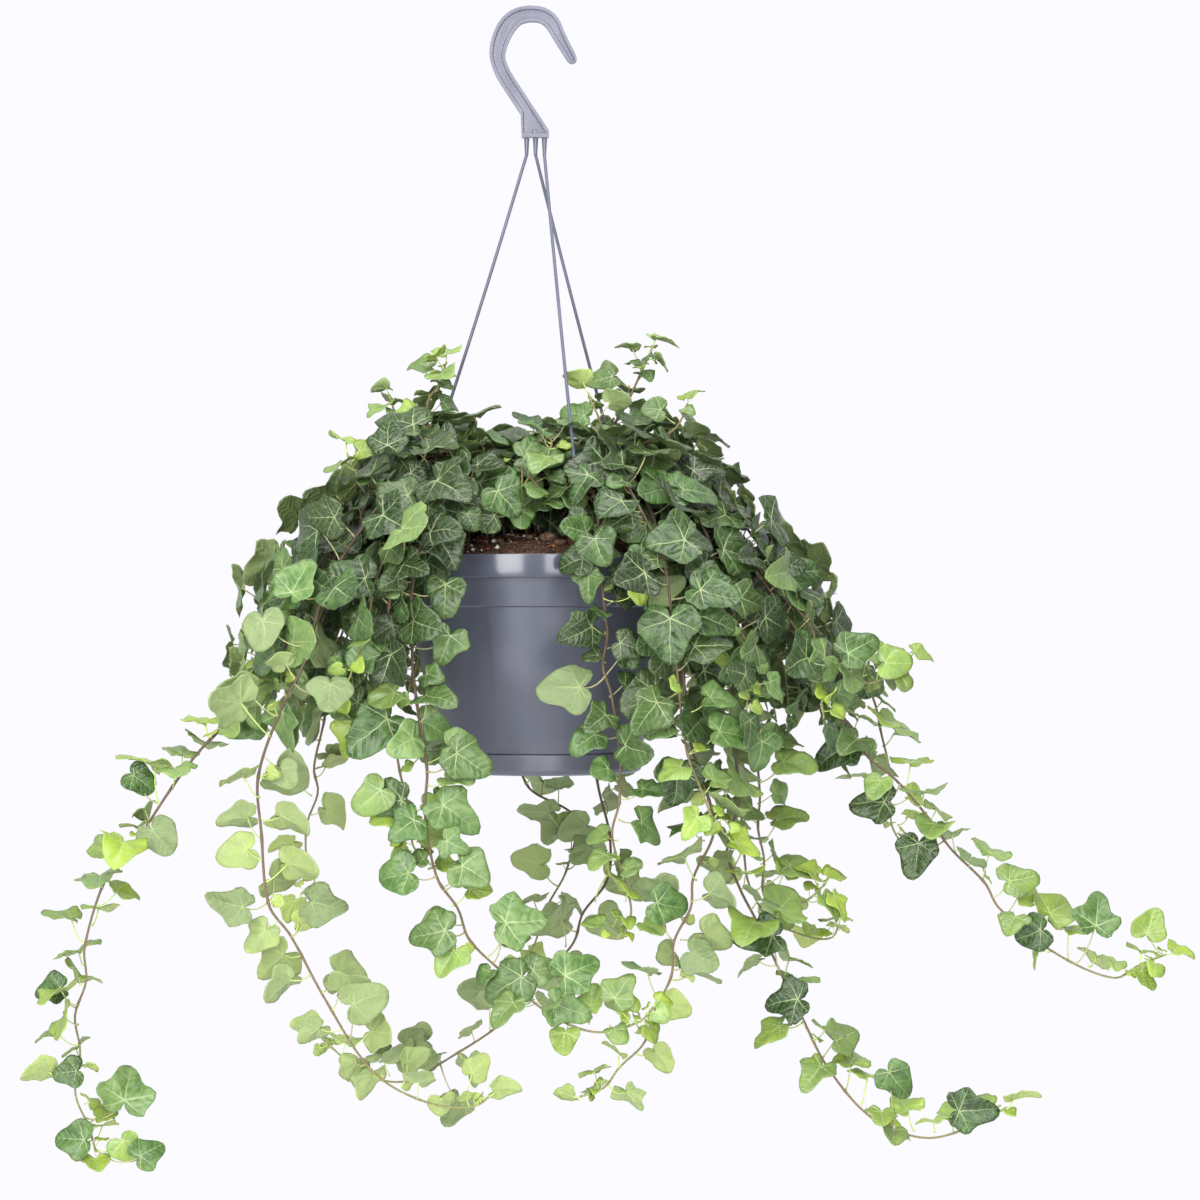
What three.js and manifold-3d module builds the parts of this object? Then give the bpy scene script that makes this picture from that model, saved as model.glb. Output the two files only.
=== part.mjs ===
// English ivy in a hanging pot: hook, hanger strands, pot, clip-on saucer, peat and leafy stems.
// Millimetres, +Z up, +Y away from the viewer. The origin is where the hook rests on its rail.
import * as THREE from 'three';
import { mergeVertices } from 'three/addons/utils/BufferGeometryUtils.js';
import Module from 'manifold-3d';

const wasm = await Module();
wasm.setup();

// Driving dimensions
const GAP = 0.3;
const SEED = 20271;
const ROUND = 22;

const POT = {
  axisX: 9,
  rimTop: -444.6,
  rimRadius: 125,
  wall: 1.8,
  bandDepth: 18.7,
  bandStep: 7,
  ledgeDepth: 42,
  ledgeRadius: 112.4,
  ledgeStep: 1.4,
  bodyDepth: 162.4,
  bodyRadius: 83.6,
  neckRadius: 79.4,
  beadRadius: 81,
  footDepth: 171.9,
  floor: 2,
  lipLean: 0.8,
  cornerRise: 1.4,
  bead: { chamfer: 1.4, bottom: 3.8, top: 5.2, end: 6.3 },
  drainHoles: 4,
  drainRadius: 4,
  drainCircle: 50,
};
const SAUCER = {
  depth: 180,
  radius: 84.6,
  lipRadius: 79.8,
  innerRadius: 81.5,
  floor: 2,
  lipDepth: 2.2,
  footRadius: 79,
  shoulders: [[82.2, 1.4], [84, 4.5]],
  ribRadius: 64,
  ribWidth: 3,
};
const SOIL = { edge: 9, shoulder: 2, mound: 18, holeDepth: 12 };
const HOOK = {
  thickness: 6.8,
  web: 3.2,
  rib: 2.7,
  ribShare: 0.6,
  slope: 0.8,
  footBottom: -96.5,
  stations: 14,
};
const STRAND = {
  radius: 1.35,
  neckRadius: 2.3,
  neckLength: 15,
  headWidth: 4.4,
  headHeight: 1.8,
  headLift: 1.6,
  straight: 14,
  bow: 2,
  tops: [-3.2, 11.6, 4.2],
  firstAzimuth: 167,
};
const CLIP = { width: 10, wall: 2.3, height: 5, reach: 5.8, slant: 1.4, hook: 2.2, grip: 0.9, bevel: 3 };
const STEM = {
  rootRadius: 1.8,
  tipRadius: 0.95,
  sides: 3,
  zigzag: 1.2,
  neck: 12,
  inSoil: 26,
  stalkSeat: 2.4,
  leastRise: 0.35,
};
const BLADE = { thickness: 0.7, fold: 0.2, droop: 0.22, heel: 1.2, clearance: 0.45 };
const STALK = { radius: 0.75, shortest: 0.5, spread: 0.35, tipShare: 0.5, sag: 0.12, ridge: 0.55 };
const DOME_CENTRE = new THREE.Vector3(POT.axisX, 0, -570);

// The view that the stems' routes were read from: a pixel and a distance behind the hook give a
// point. The rim is 300 pixels wide and 250 mm across.
const VIEW = { scale: 250 / 300, seat: [530.5, 22], centre: [600, 600], distance: 3000 };

function fromView(across, down, away) {
  const scale = (VIEW.scale * (VIEW.distance + away)) / VIEW.distance;
  const middle = [
    (VIEW.centre[0] - VIEW.seat[0]) * VIEW.scale,
    (VIEW.seat[1] - VIEW.centre[1]) * VIEW.scale,
  ];
  return new THREE.Vector3(
    middle[0] + (across - VIEW.centre[0]) * scale,
    away,
    middle[1] - (down - VIEW.centre[1]) * scale,
  );
}

const radians = THREE.MathUtils.degToRad;
const UP = new THREE.Vector3(0, 0, 1);

function aroundPot(radius, azimuth, height) {
  const turn = radians(azimuth);
  return new THREE.Vector3(
    POT.axisX + radius * Math.cos(turn),
    radius * Math.sin(turn),
    height,
  );
}

// Solids
function solidOf(geometry) {
  const bare = geometry.index ? geometry.toNonIndexed() : geometry.clone();
  bare.deleteAttribute('normal');
  bare.deleteAttribute('uv');
  const merged = mergeVertices(bare, 1e-4);
  const mesh = new wasm.Mesh({
    numProp: 3,
    vertProperties: new Float32Array(merged.attributes.position.array),
    triVerts: new Uint32Array(merged.index.array),
  });
  return new wasm.Manifold(mesh);
}

function solidFrom(points, faces) {
  const mesh = new wasm.Mesh({
    numProp: 3,
    vertProperties: new Float32Array(points.flatMap((p) => [p.x, p.y, p.z])),
    triVerts: new Uint32Array(faces.flat()),
  });
  return new wasm.Manifold(mesh);
}

// A closed surface whose pieces repeat the corners that they share
function mergedSolid(points, faces) {
  const geometry = new THREE.BufferGeometry().setFromPoints(points);
  geometry.setIndex(faces.flat());
  return solidOf(geometry);
}

function geometryFrom(solid) {
  const mesh = solid.getMesh();
  const geometry = new THREE.BufferGeometry();
  geometry.setAttribute('position', new THREE.BufferAttribute(mesh.vertProperties, 3));
  geometry.setIndex(new THREE.BufferAttribute(mesh.triVerts, 1));
  geometry.computeVertexNormals();
  return geometry;
}

// Joins pieces and keeps the one body that they make
function fuse(pieces) {
  const joined = wasm.Manifold.union(pieces).simplify(0.004);
  const bodies = joined.decompose();
  bodies.sort((a, b) => b.volume() - a.volume());
  return bodies[0];
}

// Faces of a tube whose rings all have the same number of points, closed at both ends
function tubeFaces(rings, sides) {
  const faces = [];
  for (let ring = 0; ring < rings - 1; ring += 1) {
    for (let side = 0; side < sides; side += 1) {
      const next = (side + 1) % sides;
      const a = ring * sides + side;
      const b = ring * sides + next;
      faces.push([a, b, b + sides], [a, b + sides, a + sides]);
    }
  }
  const last = (rings - 1) * sides;
  for (let side = 1; side < sides - 1; side += 1) {
    faces.push([0, side + 1, side], [last, last + side, last + side + 1]);
  }
  return faces;
}

function turned(profile) {
  const outline = profile.map(([radius, height]) => new THREE.Vector2(radius, height));
  const geometry = new THREE.LatheGeometry(outline, ROUND);
  geometry.rotateX(Math.PI / 2);
  geometry.translate(POT.axisX, 0, POT.rimTop);
  return solidOf(geometry);
}

function block(low, high) {
  const size = high.map((value, axis) => value - low[axis]);
  const geometry = new THREE.BoxGeometry(...size);
  geometry.translate(...low.map((value, axis) => value + size[axis] / 2));
  return solidOf(geometry);
}

function upright(radius, bottom, top, x, y, sides, topRadius = radius) {
  const geometry = new THREE.CylinderGeometry(topRadius, radius, top - bottom, sides);
  geometry.rotateX(Math.PI / 2);
  geometry.translate(x, y, (top + bottom) / 2);
  return solidOf(geometry);
}

// Smooth route through hand-picked points, with its length measured along it
class Route {
  constructor(points) {
    const steps = 12;
    const gaps = points.slice(1).map((point, i) => point.distanceTo(points[i]));
    const slopes = points.map((point, i) => {
      const before = Math.max(i - 1, 0);
      const after = Math.min(i + 1, points.length - 1);
      let reach = 0;
      for (let gap = before; gap < after; gap += 1) {
        reach += gaps[gap];
      }
      return points[after].clone().sub(points[before]).divideScalar(reach);
    });
    this.points = [points[0].clone()];
    this.lengths = [0];
    gaps.forEach((gap, i) => {
      for (let step = 1; step <= steps; step += 1) {
        const t = step / steps;
        const point = points[i].clone().multiplyScalar(2 * t ** 3 - 3 * t ** 2 + 1);
        point.addScaledVector(slopes[i], gap * (t ** 3 - 2 * t ** 2 + t));
        point.addScaledVector(points[i + 1], 3 * t ** 2 - 2 * t ** 3);
        point.addScaledVector(slopes[i + 1], gap * (t ** 3 - t ** 2));
        const last = this.points[this.points.length - 1];
        this.lengths.push(this.lengths[this.lengths.length - 1] + point.distanceTo(last));
        this.points.push(point);
      }
    });
    this.length = this.lengths[this.lengths.length - 1];
  }

  at(distance) {
    const wanted = Math.min(Math.max(distance, 0), this.length);
    let i = 1;
    while (i < this.lengths.length - 1 && this.lengths[i] < wanted) {
      i += 1;
    }
    const part = (wanted - this.lengths[i - 1]) / (this.lengths[i] - this.lengths[i - 1]);
    return this.points[i - 1].clone().lerp(this.points[i], part);
  }

  along(distance) {
    const reach = 4;
    return this.at(distance + reach).sub(this.at(distance - reach)).normalize();
  }
}

// Hook: an I-section swept along its bend, and a solid foot with a socket for each strand.
// Each station is across, height and half the band's width.
const HOOK_BEND = [
  [36.1, -34.4, 1.3],
  [35.6, -33.2, 3.2],
  [34.4, -30.6, 4.2],
  [28.9, -20.8, 4.9],
  [23.5, -11.1, 5.5],
  [18.1, -0.9, 6.4],
  [11.0, 4.9, 6.5],
  [0, 6.6, 6.6],
  [-10.8, 4.2, 6.9],
  [-18.9, -2.8, 7.5],
  [-25.0, -14.6, 7.3],
  [-27.6, -26.5, 6.7],
  [-26.3, -34.6, 6.4],
  [-21.6, -45.2, 6.3],
  [-6.6, -68.3, 6.2],
  [5.2, -86.6, 6.2],
];

const HOOK_FOOT = [
  [-8.3, -76.5],
  [-7.4, HOOK.footBottom],
  [15.2, HOOK.footBottom],
  [15.6, -91],
  [8.2, -79],
  [2, -72],
];

// The recess between the band's ribs runs on into the foot, round a boss over the middle strand
const FOOT_RECESS = [
  [-6.2, -73.9],
  [-5.5, -75],
  [-5.2, -92.3],
  [1.4, -92.3],
  [1.4, -89.5],
  [6, -89.5],
  [6, -92.3],
  [12.2, -92.3],
  [-1.6, -71],
];

function hookSection(half) {
  const thick = HOOK.thickness / 2;
  const web = HOOK.web / 2;
  const rib = Math.min(HOOK.rib, half * HOOK.ribShare);
  const slope = Math.min(HOOK.slope, (half - rib) / 2);
  return [
    [half, -thick],
    [half, thick],
    [half - rib, thick],
    [half - rib - slope, web],
    [-half + rib + slope, web],
    [-half + rib, thick],
    [-half, thick],
    [-half, -thick],
    [-half + rib, -thick],
    [-half + rib + slope, -web],
    [half - rib - slope, -web],
    [half - rib, -thick],
  ];
}

// A plate that stands square to the front view, between two depths along Y
function plate(outline, front, back) {
  const shape = new THREE.Shape(outline.map(([x, z]) => new THREE.Vector2(x, z)));
  const geometry = new THREE.ExtrudeGeometry(shape, {
    depth: back - front,
    bevelEnabled: false,
  });
  geometry.rotateX(Math.PI / 2);
  geometry.translate(0, back, 0);
  return solidOf(geometry);
}

function hookSolid() {
  const bend = new Route(HOOK_BEND.map(([x, z, half]) => new THREE.Vector3(x, half, z)));
  const points = [];
  for (let station = 0; station < HOOK.stations; station += 1) {
    const distance = (bend.length * station) / (HOOK.stations - 1);
    const here = bend.at(distance);
    const ahead = bend.along(distance);
    const run = new THREE.Vector2(ahead.x, ahead.z).normalize();
    for (const [side, depth] of hookSection(here.y)) {
      points.push(new THREE.Vector3(here.x + run.y * side, depth, here.z - run.x * side));
    }
  }
  const band = solidFrom(points, tubeFaces(HOOK.stations, 12));
  const face = HOOK.thickness / 2;
  const web = HOOK.web / 2;
  let solid = fuse([band, plate(HOOK_FOOT, -face, face)]);
  solid = solid.subtract(plate(FOOT_RECESS, -face - 1, -web));
  solid = solid.subtract(plate(FOOT_RECESS, web, face + 1));
  const front = -STRAND.radius - GAP;
  const back = face + 1;
  for (const top of STRAND.tops) {
    const neck = STRAND.radius + GAP;
    const head = STRAND.headWidth / 2 + GAP;
    const seat = HOOK.footBottom + STRAND.headLift - GAP;
    const roof = seat + STRAND.headHeight + 2 * GAP;
    solid = solid.subtract(
      block([top - neck, front, HOOK.footBottom - 1], [top + neck, back, seat + 1]),
    );
    solid = solid.subtract(block([top - head, front, seat], [top + head, back, roof]));
  }
  return solid;
}

// Strand: T-shaped head, flared neck, thin rod, and a clip round the pot's rim band
function clipSolid(azimuth) {
  const inside = POT.rimRadius + GAP;
  const outside = inside + CLIP.wall;
  const under = -POT.bandDepth - GAP;
  const hookEnd = POT.rimRadius - POT.bandStep + CLIP.grip;
  const outline = new THREE.Shape([
    new THREE.Vector2(inside - CLIP.reach, GAP),
    new THREE.Vector2(inside, GAP),
    new THREE.Vector2(inside, under),
    new THREE.Vector2(hookEnd, under),
    new THREE.Vector2(hookEnd, under - CLIP.hook),
    new THREE.Vector2(outside, under - CLIP.hook),
    new THREE.Vector2(outside, 1),
    new THREE.Vector2(outside - CLIP.bevel, CLIP.height),
    new THREE.Vector2(inside - CLIP.reach + CLIP.slant, CLIP.height),
  ]);
  const geometry = new THREE.ExtrudeGeometry(outline, {
    depth: CLIP.width,
    bevelEnabled: false,
  });
  geometry.translate(0, 0, -CLIP.width / 2);
  geometry.rotateX(Math.PI / 2);
  geometry.rotateZ(radians(azimuth));
  geometry.translate(POT.axisX, 0, POT.rimTop);
  return solidOf(geometry);
}

function strandSolid(top, azimuth) {
  const bend = new THREE.Vector3(top, 0, HOOK.footBottom - STRAND.straight);
  const end = aroundPot(POT.rimRadius - 2.4, azimuth, POT.rimTop + 3);
  const inward = new THREE.Vector3(-Math.cos(radians(azimuth)), -Math.sin(radians(azimuth)), 0);
  const points = [bend.clone().setZ(bend.z + 2), bend];
  for (const share of [0.25, 0.5, 0.75]) {
    const point = bend.clone().lerp(end, share);
    point.addScaledVector(inward, STRAND.bow * 4 * share * (1 - share));
    points.push(point);
  }
  points.push(end);
  const outline = new THREE.Shape();
  outline.absarc(0, 0, STRAND.radius, 0, Math.PI * 2);
  const rod = new THREE.ExtrudeGeometry(outline, {
    steps: 7,
    curveSegments: 4,
    extrudePath: new THREE.CatmullRomCurve3(points),
  });
  const headBottom = HOOK.footBottom + STRAND.headLift;
  const halfHead = STRAND.headWidth / 2;
  const head = block(
    [top - halfHead, -STRAND.radius, headBottom],
    [top + halfHead, STRAND.radius + 1, headBottom + STRAND.headHeight],
  );
  const shank = upright(STRAND.radius, bend.z + 0.5, headBottom + 1, top, 0, 8);
  const neckTop = HOOK.footBottom - GAP;
  const neckBottom = neckTop - STRAND.neckLength;
  const neck = upright(STRAND.radius + 0.1, neckBottom, neckTop, top, 0, 8, STRAND.neckRadius);
  return fuse([solidOf(rod), shank, head, neck, clipSolid(azimuth)]);
}

// Pot, saucer and soil are turned; each outline is radius and height from the rim's top
function potSolid() {
  const bandInside = POT.rimRadius - POT.wall;
  const wallTop = POT.rimRadius - POT.bandStep;
  const shelf = -POT.bandDepth + POT.wall;
  const { bead } = POT;
  let pot = turned([
    [0, -POT.footDepth],
    [POT.neckRadius - bead.chamfer, -POT.footDepth],
    [POT.beadRadius, bead.bottom - POT.footDepth],
    [POT.beadRadius, bead.top - POT.footDepth],
    [POT.neckRadius, bead.end - POT.footDepth],
    [POT.neckRadius, -POT.bodyDepth - 0.2],
    [POT.bodyRadius, -POT.bodyDepth],
    [POT.ledgeRadius - POT.ledgeStep, -POT.ledgeDepth - 0.6],
    [POT.ledgeRadius, -POT.ledgeDepth],
    [wallTop, -POT.bandDepth - 0.2],
    [POT.rimRadius - POT.lipLean, -POT.bandDepth],
    [POT.rimRadius, 0],
    [bandInside - 0.6, 0],
    [bandInside - 1, shelf],
    [wallTop - POT.wall, shelf],
    [POT.bodyRadius - POT.wall, POT.cornerRise - POT.bodyDepth],
    [POT.neckRadius - 2, -POT.bodyDepth - 1.2],
    [POT.neckRadius - 2.5, POT.floor - POT.footDepth],
    [0, POT.floor - POT.footDepth],
  ]);
  for (let hole = 0; hole < POT.drainHoles; hole += 1) {
    const turn = (hole / POT.drainHoles) * Math.PI * 2;
    const bottom = POT.rimTop - POT.footDepth;
    const drill = upright(
      POT.drainRadius,
      bottom - 1,
      bottom + POT.floor + 1,
      POT.axisX + POT.drainCircle * Math.cos(turn),
      POT.drainCircle * Math.sin(turn),
      8,
    );
    pot = pot.subtract(drill);
  }
  return pot;
}

function saucerSolid() {
  const top = -POT.bodyDepth - 0.4;
  const floorTop = SAUCER.floor - SAUCER.depth;
  const ribTop = -POT.footDepth - GAP;
  const ribInside = SAUCER.ribRadius - SAUCER.ribWidth;
  return turned([
    [0, -SAUCER.depth],
    [SAUCER.footRadius, -SAUCER.depth],
    ...SAUCER.shoulders.map(([radius, height]) => [radius, height - SAUCER.depth]),
    [SAUCER.radius, top],
    [SAUCER.lipRadius, top],
    [SAUCER.lipRadius, top - SAUCER.lipDepth],
    [SAUCER.innerRadius, top - SAUCER.lipDepth - 0.4],
    [SAUCER.innerRadius - 1.5, floorTop],
    [SAUCER.ribRadius, floorTop],
    [SAUCER.ribRadius, ribTop],
    [ribInside, ribTop],
    [ribInside, floorTop],
    [0, floorTop],
  ]);
}

const SOIL_TOP = [
  [115.2, -SOIL.edge],
  [104, SOIL.shoulder],
  [80, SOIL.mound * 0.6],
  [42, SOIL.mound * 0.88],
  [0, SOIL.mound],
];

function soilHeight(radius) {
  for (let i = 1; i < SOIL_TOP.length; i += 1) {
    const [outerRadius, outerHeight] = SOIL_TOP[i - 1];
    const [innerRadius, innerHeight] = SOIL_TOP[i];
    if (radius >= innerRadius) {
      const share = (radius - innerRadius) / (outerRadius - innerRadius);
      return POT.rimTop + innerHeight + (outerHeight - innerHeight) * share;
    }
  }
  return POT.rimTop + SOIL.mound;
}

function soilSolid(roots) {
  let soil = turned([
    [0, POT.floor + GAP - POT.footDepth],
    [POT.neckRadius - 2.8, POT.floor + GAP - POT.footDepth],
    [POT.neckRadius - 2.4, -POT.bodyDepth - 1],
    [POT.bodyRadius - POT.wall - GAP, 1.6 - POT.bodyDepth],
    [SOIL_TOP[0][0], -POT.bandDepth - 0.8],
    ...SOIL_TOP,
  ]);
  for (const root of roots) {
    const surface = soilHeight(Math.hypot(root.x - POT.axisX, root.y));
    const bottom = surface - SOIL.holeDepth - GAP;
    const radius = (STEM.rootRadius + 2 * GAP) * Math.SQRT2;
    soil = soil.subtract(upright(radius, bottom, surface + 9, root.x, root.y, 4));
  }
  return soil;
}

// Seeded draws: the same keys always give the same number
function draw(...keys) {
  let mix = SEED;
  for (const key of keys) {
    mix = Math.imul(mix ^ (key + 1), 0x9e3779b1);
    mix ^= mix >>> 15;
    mix = Math.imul(mix, 0x85ebca6b);
    mix ^= mix >>> 13;
  }
  return (mix >>> 0) / 2 ** 32;
}

function either(range, ...keys) {
  return (draw(...keys) * 2 - 1) * range;
}

// Long stems. Each route's points are across, down and away as the view above reads them, and
// facing is where the upper sides of its hanging leaves look.
const TRAILING = [
  {
    name: 'stem_far_left',
    facing: [-0.1, -0.15, 1],
    route: [
      [430, 445, -15], [368, 512, -35], [320, 580, -55], [291, 662, -70], [250, 703, -75],
      [204, 746, -80], [173, 786, -80], [134, 844, -80], [108, 875, -75], [84, 947, -70],
      [86, 981, -70], [75, 1016, -70], [80, 1051, -70], [75, 1094, -70], [90, 1130, -70],
      [97, 1152, -75],
    ],
  },
  {
    name: 'stem_left_long',
    facing: [-0.2, 0.8, 0.5],
    route: [
      [440, 455, -70], [380, 505, -120], [325, 590, -140], [304, 664, -150],
      [280, 712, -150], [258, 777, -150], [261, 831, -150], [269, 905, -150],
      [290, 935, -150], [325, 999, -150], [374, 1073, -150], [432, 1104, -150],
      [476, 1106, -150], [490, 1096, -150],
    ],
  },
  {
    name: 'stem_left_back',
    facing: [-0.3, 0.6, 0.6],
    route: [
      [440, 450, 60], [370, 520, 90], [332, 640, 100], [325, 716, 100], [314, 768, 100],
      [318, 792, 100], [307, 824, 100], [307, 863, 100], [315, 881, 100], [300, 895, 100],
    ],
  },
  {
    name: 'stem_pot_left',
    share: 0.82,
    facing: [0, -0.65, 0.7],
    route: [
      [462, 470, -90], [420, 545, -145], [411, 651, -160], [417, 705, -160],
      [427, 770, -160], [425, 813, -160], [437, 878, -160], [458, 909, -160],
      [469, 939, -160], [502, 972, -160], [544, 1010, -160], [594, 1032, -160],
      [639, 1022, -160], [654, 1006, -160],
    ],
  },
  {
    name: 'stem_left_inner',
    facing: [-0.2, -0.7, 0.6],
    route: [
      [445, 470, -95], [398, 560, -150], [385, 680, -150], [400, 770, -140],
      [411, 818, -140], [413, 846, -140], [428, 862, -140],
    ],
  },
  {
    name: 'stem_under_pot',
    facing: [0, 0.5, 0.8],
    route: [
      [540, 450, 105], [520, 560, 170], [508, 700, 180], [527, 785, 180], [574, 817, 180],
      [567, 869, 180], [547, 907, 180], [530, 954, 180], [508, 975, 180],
    ],
  },
  {
    name: 'stem_pot_right',
    share: 0.8,
    facing: [0.1, -0.5, 0.8],
    route: [
      [592, 490, -112], [600, 570, -152], [606, 635, -152], [603, 665, -150],
      [611, 692, -145], [619, 760, -135], [619, 802, -135], [612, 835, -135],
      [627, 889, -135], [631, 914, -135], [619, 939, -135], [604, 929, -135],
    ],
  },
  {
    name: 'stem_long_diagonal',
    facing: [0, 0.75, 0.55],
    route: [
      [585, 450, 115], [600, 560, 170], [596, 700, 170], [598, 780, 165], [609, 837, 160],
      [608, 880, 145], [582, 914, 130], [572, 944, 120], [544, 974, 110], [500, 1024, 90],
      [437, 1066, 75], [413, 1080, 70], [380, 1080, 70], [352, 1065, 70], [318, 1034, 70],
    ],
  },
  {
    name: 'stem_right_inner',
    facing: [0.1, 0.5, 0.8],
    route: [
      [625, 470, -90], [662, 545, -130], [680, 640, -140], [690, 740, -140],
      [714, 828, -140], [693, 879, -140], [691, 907, -140], [674, 941, -140],
      [671, 976, -140], [654, 1011, -135], [644, 1043, -135], [619, 1068, -135],
      [604, 1088, -135], [579, 1097, -135],
    ],
  },
  {
    name: 'stem_right_long',
    facing: [0.2, -0.2, 1],
    route: [
      [640, 460, -50], [700, 520, -90], [725, 630, -110], [736, 757, -110],
      [739, 800, -110], [727, 850, -110], [740, 889, -110], [757, 922, -110],
      [783, 978, -110], [800, 1013, -110], [828, 1068, -110], [872, 1118, -110],
      [926, 1138, -110], [976, 1125, -110], [1008, 1106, -110],
    ],
  },
  {
    name: 'stem_right_mid',
    facing: [0.3, -0.4, 0.8],
    route: [
      [655, 458, -22], [722, 530, -34], [750, 640, -42], [755, 733, -50], [760, 796, -50],
      [758, 828, -50], [764, 859, -50], [764, 896, -50], [787, 908, -50], [810, 898, -50],
      [827, 882, -50],
    ],
  },
  {
    name: 'stem_right_mid_back',
    facing: [0.2, 0.3, 0.9],
    route: [
      [650, 452, 66], [730, 540, 60], [742, 700, 50], [745, 870, 40], [770, 922, 40],
      [788, 930, 40], [818, 939, 40], [833, 937, 40], [839, 924, 40],
    ],
  },
  {
    name: 'stem_far_right',
    facing: [0.1, -0.3, 0.9],
    route: [
      [645, 442, 0], [712, 522, -12], [770, 605, -15], [810, 658, -20], [847, 723, -20],
      [867, 756, -20], [895, 779, -20], [931, 821, -20], [951, 849, -20], [985, 883, -20],
      [999, 908, -20], [1055, 953, -20], [1114, 978, -20], [1139, 965, -20],
      [1168, 954, -20],
    ],
  },
  {
    name: 'stem_right_short',
    facing: [0.4, -0.5, 0.7],
    route: [
      [660, 455, -52], [742, 553, -72], [790, 620, -78], [824, 668, -78], [841, 678, -78],
      [871, 683, -78], [895, 671, -78], [908, 658, -78],
    ],
  },
  {
    name: 'stem_right_back',
    facing: [0.4, 0.1, 0.9],
    route: [
      [670, 440, 44], [772, 562, 66], [845, 655, 64], [872, 697, 50], [881, 734, 50],
      [889, 768, 50], [890, 801, 50], [892, 826, 50], [902, 845, 50],
    ],
  },
  {
    name: 'stem_right_front',
    facing: [0.2, -0.7, 0.6],
    route: [
      [615, 478, -114], [663, 560, -170], [675, 650, -175], [686, 748, -175],
      [703, 796, -175], [714, 822, -170], [730, 838, -165],
    ],
  },
];

// Upright sprigs that stand above the crown, read from the same view
const SPRIGS = [
  {
    name: 'sprig_left',
    facing: [-0.1, -0.2, 1],
    route: [[458, 450, -30], [432, 435, -32], [428, 402, -32], [440, 383, -30], [446, 364, -28]],
  },
  {
    name: 'sprig_right',
    facing: [0.1, -0.2, 1],
    route: [[606, 440, 26], [622, 412, 28], [638, 380, 28], [646, 362, 26], [652, 347, 24]],
  },
];

// Crown shoots arch out of the soil all round, but for the gap in front of the pot's face
const CROWN = {
  azimuths: [-42, -21, 13, 28, 60, 82, 102, 115, 129, 158, 177, 203, 211, 229],
  sideReach: 256,
  frontReach: 198,
  shares: [0.4, 0.61, 0.81, 0.95, 1],
  heights: [-376, -411, -458, -510, -560],
  tilt: 8,
  roots: [30, 48, 66],
  sway: { turn: 3, height: 9 },
};
const TOP = {
  count: 7,
  firstAzimuth: 18,
  firstLeaf: 48,
  root: 16,
  radii: [26, 43, 62, 80, 92],
  heights: [-400, -373, -357, -356, -363],
  sway: { turn: 4, height: 8 },
};
const TRAILING_ROOTS = [44, 64, 84];
const SPRIG = { root: 52, firstLeaf: 58, every: 20, share: 0.88 };
// The gap in the leaves that soil and pot show through: its edges in the view, and its near and far
const CLEARING = { left: 466, right: 557, top: 531, bottom: 735, near: -260, far: -70 };

const LEAVES = {
  crown: { size: 40, vary: 7, every: 34, first: 66 },
  trailing: { size: 36, vary: 6, every: 50 },
  crownLength: 260,
  hangsAfter: 120,
  tries: 9,
};
// How a leaf leans from its joint, and how far each part of that and of its face is swayed
const LEAN = {
  usual: { across: 0.85, out: 0.45, up: 0.25, ahead: 0 },
  atTip: { across: 0.2, out: 0.2, up: 0, ahead: 1 },
  sway: { out: 0.25, up: 0.2, ahead: 0.35 },
};
const FACE = { sway: 0.4, lean: 0.8, down: 0.55, level: 0.5 };
// Leaves get smaller towards a stem's tip
const TAPER = { trailing: { loss: 0.35, power: 6 }, crown: { loss: 0.18, power: 4 } };

function rootPoint(azimuth, radius) {
  return aroundPot(radius, azimuth, soilHeight(radius));
}

function azimuthOf(point) {
  return THREE.MathUtils.radToDeg(Math.atan2(point.y, point.x - POT.axisX));
}

// A stem's route starts in its hole in the soil and then takes the points it is given
function stemRoute(root, points) {
  const bottom = root.clone().setZ(root.z - SOIL.holeDepth);
  const neck = root.clone().setZ(root.z + STEM.neck);
  return new Route([bottom, neck, ...points]);
}

function plannedStem(plan, rootRadius, kind) {
  const points = plan.route.map((point) => fromView(...point));
  const root = rootPoint(azimuthOf(points[0]), rootRadius);
  const facing = new THREE.Vector3(...plan.facing).normalize();
  return { ...plan, ...kind, root, facing, route: stemRoute(root, points) };
}

function trailingStems() {
  return TRAILING.map((plan, index) => plannedStem(
    plan,
    TRAILING_ROOTS[index % TRAILING_ROOTS.length],
    { trailing: true },
  ));
}

function crownShoots() {
  return CROWN.azimuths.map((azimuth, i) => {
    const sideways = Math.cos(radians(azimuth)) ** 2;
    const reach = CROWN.frontReach + (CROWN.sideReach - CROWN.frontReach) * sideways;
    const points = CROWN.shares.map((part, k) => {
      const turn = azimuth + either(CROWN.sway.turn, 71, i, k);
      const height = CROWN.heights[k] + either(CROWN.sway.height, 72, i, k);
      return aroundPot(reach * part, turn, height - CROWN.tilt * Math.cos(radians(azimuth)));
    });
    const root = rootPoint(azimuth, CROWN.roots[i % CROWN.roots.length]);
    return { name: `crown_shoot_${i + 1}`, root, route: stemRoute(root, points) };
  });
}

function topShoots() {
  const shoots = [];
  for (let i = 0; i < TOP.count; i += 1) {
    const azimuth = TOP.firstAzimuth + (i / TOP.count) * 360;
    const points = TOP.radii.map((radius, k) => {
      const height = TOP.heights[k] + either(TOP.sway.height, 74, i, k);
      return aroundPot(radius, azimuth + either(TOP.sway.turn, 73, i, k), height);
    });
    const root = rootPoint(azimuth, TOP.root);
    const route = stemRoute(root, points);
    shoots.push({ name: `top_shoot_${i + 1}`, root, first: TOP.firstLeaf, route });
  }
  return shoots;
}

function sprigs() {
  const kind = { first: SPRIG.firstLeaf, share: SPRIG.share, sprig: true };
  return SPRIGS.map((plan) => plannedStem(plan, SPRIG.root, kind));
}

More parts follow.
